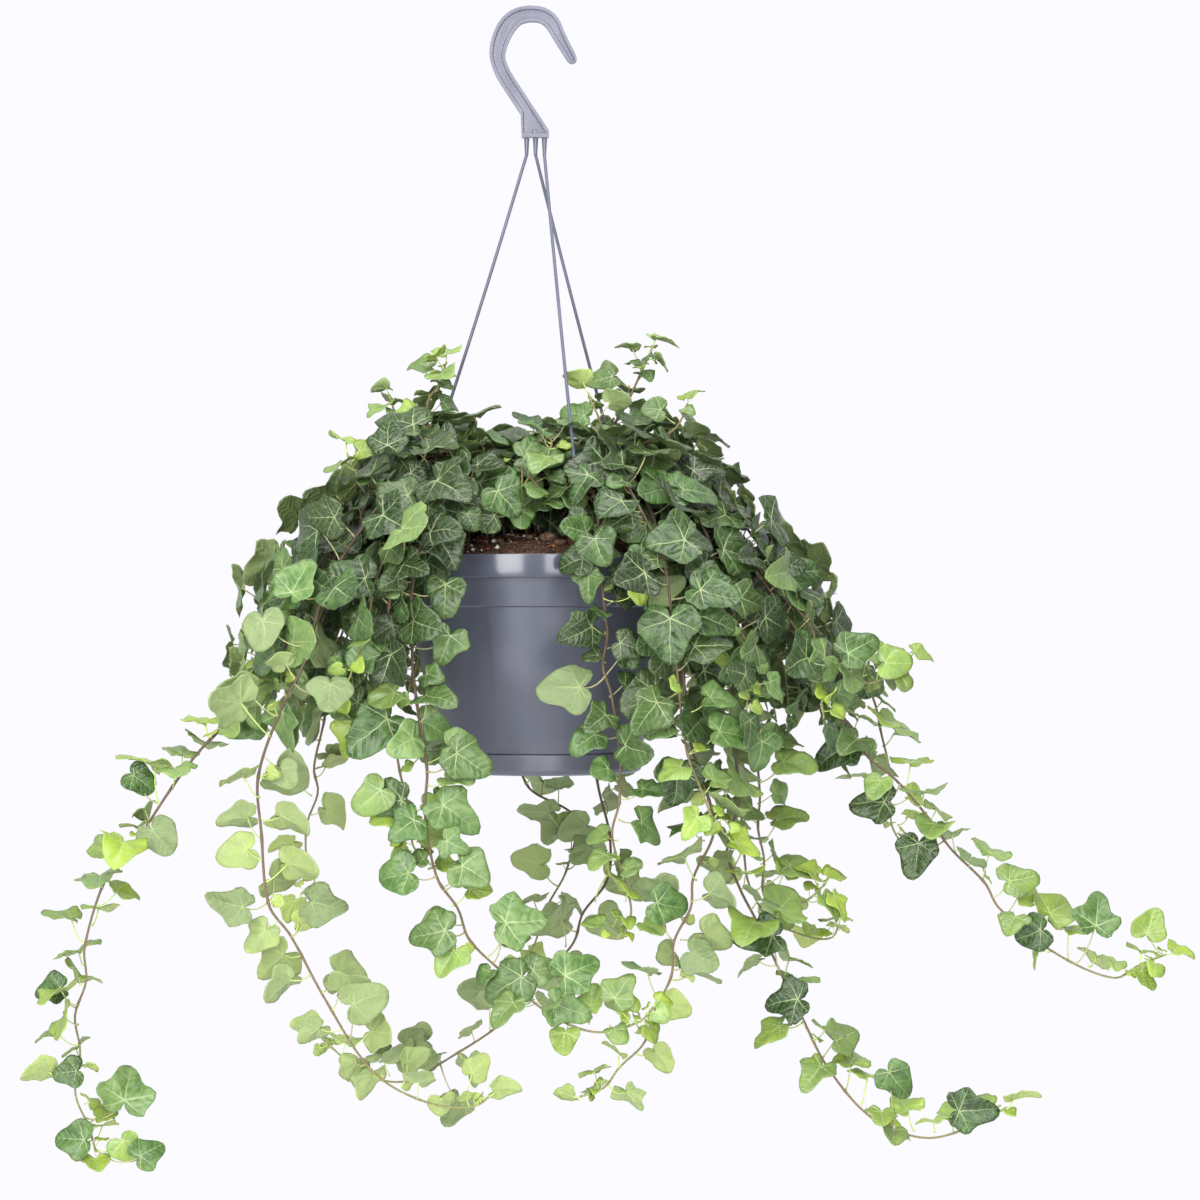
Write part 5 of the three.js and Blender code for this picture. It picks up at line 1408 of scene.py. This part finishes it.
class Canopy:
    """The leaves that are grown, kept so that a new one can be tested against them."""

    def __init__(self):
        self.trees, self.centres = [], []

    def touches(self, form, points):
        centre = points.mean(axis=0)
        near = [i for i, c in enumerate(self.centres) if np.abs(c - centre).max() < 62]
        tree = BVHTree.FromPolygons(points.tolist(), form["upper"])
        return any(tree.overlap(self.trees[i]) for i in near)

    def keep(self, form, points):
        self.trees.append(BVHTree.FromPolygons(points.tolist(), form["upper"]))
        self.centres.append(points.mean(axis=0))


def leaf_age(stem, leaf):
    """From 0 for an old dark leaf to 1 for one that has just opened."""
    spread = either(0.13, *leaf["keys"], 31)
    # Both flanks of the plant are younger growth than its middle
    spread += np.interp(leaf["joint"][0], (-230, -130, 140, 240), (0.24, 0, 0, 0.16 * leaf["hanging"]))
    if stem.get("trailing"):
        age = 0.17 + 0.36 * leaf["hanging"] + 0.4 * leaf["tip"] ** 7 + spread
    elif stem.get("sprig"):
        age = 0.25 + 0.55 * leaf["tip"] ** 4 + spread
    else:
        age = 0.14 + 0.3 * leaf["tip"] ** 5 + spread
    if draw(*leaf["keys"], 32) < 0.05:
        age += 0.45
    return min(max(age, 0.02), 0.98)


def packed_leaf(stem, owner, index, stop, corners):
    """The turn of this stop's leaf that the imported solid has, or none."""
    side = 1 if index % 2 else -1
    for attempt in range(TRIES):
        leaf = leaf_plan(stem, (owner, index, attempt), side, stop)
        w = leaf["width"]
        tip = leaf["base"] + leaf["run"] * MIDDLE_LOBE * w
        tip = tip + leaf["normal"] * (PACKED_THICKNESS / 2 - BLADE_DROOP * MIDDLE_LOBE**2 * w)
        _, _, apart = corners.find(Vector(tip * MM))
        if apart < 0.05 * MM:
            return leaf
    return None


# The sizes that an added leaf tries in turn, as shares of a usual one's
CROWN_SIZES = ((0.92, 0.78, 0.62), (0.74, 0.58, 0.42))
HANGING_SIZES = ((1.08, 0.9, 0.7), (0.92, 0.7, 0.5))
TINY_SIZES = (0.42, 0.34, 0.28)
TIP_SIZES = (0.45, 0.35, 0.3)
BARE_SIZES = (0.95, 0.8, 0.6)
SHOOT_SIZES = (1.0, 0.85, 0.7)


class Plant:
    """All stems and their stops, the mesh of each as it grows, and the leaves that are set so far."""

    def __init__(self):
        self.stems = packed_stems()
        self.packed = len(self.stems)
        self.stems += added_stems()
        self.stops = [stem_stops(stem) for stem in self.stems]
        self.growths = [Growth() for _ in self.stems]
        self.canopy = Canopy()

    def set_leaf(self, owner, leaf, age, shape):
        self.canopy.keep(form_of(leaf), shape[0])
        self.growths[owner].blade(form_of(leaf), *shape)
        grow_stalk(self.growths[owner], leaf, age)

    def packed_leaves(self, owner):
        """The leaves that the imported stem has. Gives the stops that it left bare."""
        stem = self.stems[owner]
        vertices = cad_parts[stem["name"]].data.vertices
        corners = KDTree(len(vertices))
        for i, vertex in enumerate(vertices):
            corners.insert(vertex.co, i)
        corners.balance()
        bare = []
        for index, stop in enumerate(self.stops[owner][2:], 2):
            leaf = packed_leaf(stem, owner, index, stop, corners)
            if leaf is None:
                bare.append((owner, index, stop))
            else:
                age = leaf_age(stem, leaf)
                self.set_leaf(owner, leaf, age, blade_points(leaf, age))
        return bare

    def marked_leaves(self):
        """The leaves that stand out in the view, each a little nearer where others are in its way."""
        owners = {stem["name"]: owner for owner, stem in enumerate(self.stems)}
        for number, (name, across, down, width, turn, face, age) in enumerate(MARKED):
            owner = owners[name]
            for nearer in range(0, 60, 6):
                place = (across, down, nearer)
                leaf = marked_leaf(
                    self.stems[owner], place, width * MARKED_SHARE, turn, face, (number, 77),
                )
                shape = blade_points(leaf, age)
                if not self.canopy.touches(form_of(leaf), shape[0]):
                    self.set_leaf(owner, leaf, age, shape)
                    break

    def added_leaf(self, owner, stop, key, sizes, tries=6, young=0.0):
        """One more leaf at a stop, turned and made smaller until it has room, or left out."""
        stem = self.stems[owner]
        for attempt in range(tries):
            keys = (owner, key, attempt, 40)
            side = 1 if (key + attempt) % 2 else -1
            scale = sizes[attempt * len(sizes) // tries] * (0.8 + 0.25 * draw(*keys, 41))
            leaf = leaf_plan(stem, keys, side, stop, scale, loose=1.8)
            age = min(leaf_age(stem, leaf) + young, 1)
            shape = blade_points(leaf, age)
            if not in_clearing(shape[0]) and not self.canopy.touches(form_of(leaf), shape[0]):
                self.set_leaf(owner, leaf, age, shape)
                return

    def leaves_between(self, owner):
        """Leaves between a stem's stops, and now and then a tiny pale one at a stop."""
        stem, stops = self.stems[owner], self.stops[owner]
        for index, (a, b) in enumerate(zip(stops[2:], stops[3:])):
            for part, share in enumerate((0.34, 0.68)):
                distance = a["distance"] + (b["distance"] - a["distance"]) * share
                stop = stem_stop(stem["route"], distance)
                stop["joint"] = a["joint"] + (b["joint"] - a["joint"]) * share
                hanging = stem.get("trailing") and distance > CROWN_LENGTH
                sizes = (HANGING_SIZES if hanging else CROWN_SIZES)[part]
                self.added_leaf(owner, stop, 700 + 2 * index + part, sizes)
            if draw(owner, index, 44) < 0.4:
                self.added_leaf(owner, a, 1200 + index, TINY_SIZES, tries=3, young=0.4)

    def tip_leaves(self, owner):
        """The last leaves of a growing tip, small and pale."""
        route = self.stems[owner]["route"]
        for k in range(3):
            stop = stem_stop(route, route.length - 5 - 7 * k)
            self.added_leaf(owner, stop, 900 + k, TIP_SIZES, young=0.5)

    def finish(self):
        for stem, growth in zip(self.stems, self.growths):
            nodes = [stem["name"]] if stem["name"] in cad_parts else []
            slot = "trailing_ivy" if stem.get("trailing") else "crown_ivy"
            growth.finish(stem["name"] + "_leafy", nodes, slot)


def grow_ivy():
    plant = Plant()
    owners = range(len(plant.stems))
    bare = []
    for owner in owners:
        grow_stem(plant.growths[owner], plant.stems[owner], plant.stops[owner])
        if owner < plant.packed:
            bare += plant.packed_leaves(owner)
    plant.marked_leaves()
    for owner, index, stop in bare:
        plant.added_leaf(owner, stop, 600 + index, BARE_SIZES)
    for owner in owners:
        if owner < plant.packed:
            plant.leaves_between(owner)
            plant.tip_leaves(owner)
        else:
            for index, stop in enumerate(plant.stops[owner][2:], 2):
                plant.added_leaf(owner, stop, index, SHOOT_SIZES)
            plant.leaves_between(owner)
    plant.finish()


# The photograph's view: a long lens, level with the crown, straight at the pot
SENSOR = 36
FLOOR_RADIUS, FLOOR_HEIGHT = 2.2, -1.35


def make_camera():
    lens = bpy.data.cameras.new("front_camera")
    lens.sensor_width = SENSOR
    lens.lens = SENSOR * VIEW_DISTANCE / (VIEW_PIXELS * VIEW_SCALE)
    lens.clip_start, lens.clip_end = 0.05, 60
    camera = bpy.data.objects.new("front_camera", lens)
    camera.location = from_view(*VIEW_CENTRE, -VIEW_DISTANCE) * MM
    camera.rotation_euler = (math.radians(90), 0, 0)
    bpy.context.scene.collection.objects.link(camera)
    bpy.context.scene.camera = camera


def soft_box(name, place, target, size, power, colour="#ffffff"):
    light = bpy.data.lights.new(name, "AREA")
    light.shape = "RECTANGLE"
    light.size, light.size_y = size
    light.energy = power
    light.color = linear(colour)[:3]
    box = bpy.data.objects.new(name, light)
    box.location = place
    box.rotation_euler = (Vector(target) - Vector(place)).to_track_quat("-Z", "Y").to_euler()
    bpy.context.scene.collection.objects.link(box)


def make_studio():
    floor_mesh = bpy.data.meshes.new("studio_floor")
    turns = [2 * math.pi * side / 64 for side in range(64)]
    ring = [(FLOOR_RADIUS * math.cos(t), FLOOR_RADIUS * math.sin(t), FLOOR_HEIGHT) for t in turns]
    floor_mesh.from_pydata(ring, [], [tuple(range(64))])
    floor = bpy.data.objects.new("studio_floor", floor_mesh)
    bpy.context.scene.collection.objects.link(floor)
    made, tree = material("studio_floor_paint")
    place = add(tree, "TexCoord").outputs["Object"]
    speck = add(tree, "TexNoise", place, into={"Scale": 14.0, "Detail": 3})
    colour = ramp(tree, speck, (0.3, "#eeeef2"), (0.7, "#f4f4f7"))
    surface(tree, add(tree, "BsdfPrincipled", into={"Base Color": colour, "Roughness": 0.8}))
    floor_mesh.materials.append(made)
    floor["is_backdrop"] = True
    world = bpy.data.worlds.new("studio_white")
    world.use_nodes = True
    tree = world.node_tree
    tree.nodes.clear()
    towards = add(tree, "SeparateXYZ", add(tree, "TexCoord").outputs["Generated"])
    behind = add(tree, "MapRange", towards.outputs[1], -0.35, 0.55, 0.30, 0.9)
    above = add(tree, "MapRange", towards.outputs[2], -0.6, 0.7, -0.14, 0.24)
    glow = add(tree, "Math", behind, above, operation="ADD")
    room = add(tree, "Background", linear("#f6f6ff"), glow)
    white = add(tree, "Background", linear("#fcfbff"), 1.0)
    mixed = add(tree, "MixShader", add(tree, "LightPath").outputs["Is Camera Ray"], room, white)
    tree.links.new(mixed.outputs[0], tree.nodes.new("ShaderNodeOutputWorld").inputs[0])
    bpy.context.scene.world = world
    soft_box("key_box", (-1.06, -2.59, 0.15), (0, 0, -0.45), (1.0, 2.3), 84)
    soft_box("fill_box", (0.62, -2.73, 0.1), (0.0, 0, -0.5), (0.92, 2.2), 58)
    soft_box("top_box", (0.2, -0.5, 1.5), (0.05, 0, -0.5), (1.6, 1.2), 46)
    soft_box("low_box_left", (-0.5, -1.25, -1.16), (0.0, 0, -0.6), (0.5, 0.32), 1.0)
    soft_box("low_box_right", (0.3, -1.31, -1.16), (0.0, 0, -0.6), (0.4, 0.32), 0.6)
    bpy.context.scene.view_settings.view_transform = "Standard"


make_camera()
make_studio()
make_hook()
for strand in range(len(STRAND_TOPS)):
    make_strand(strand)
make_pot()
make_saucer()
make_soil()
grow_ivy()

boxes = {"cad": CAD_BOX, "visual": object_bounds()}
{name: [list(corner) for corner in box] for name, box in boxes.items()}
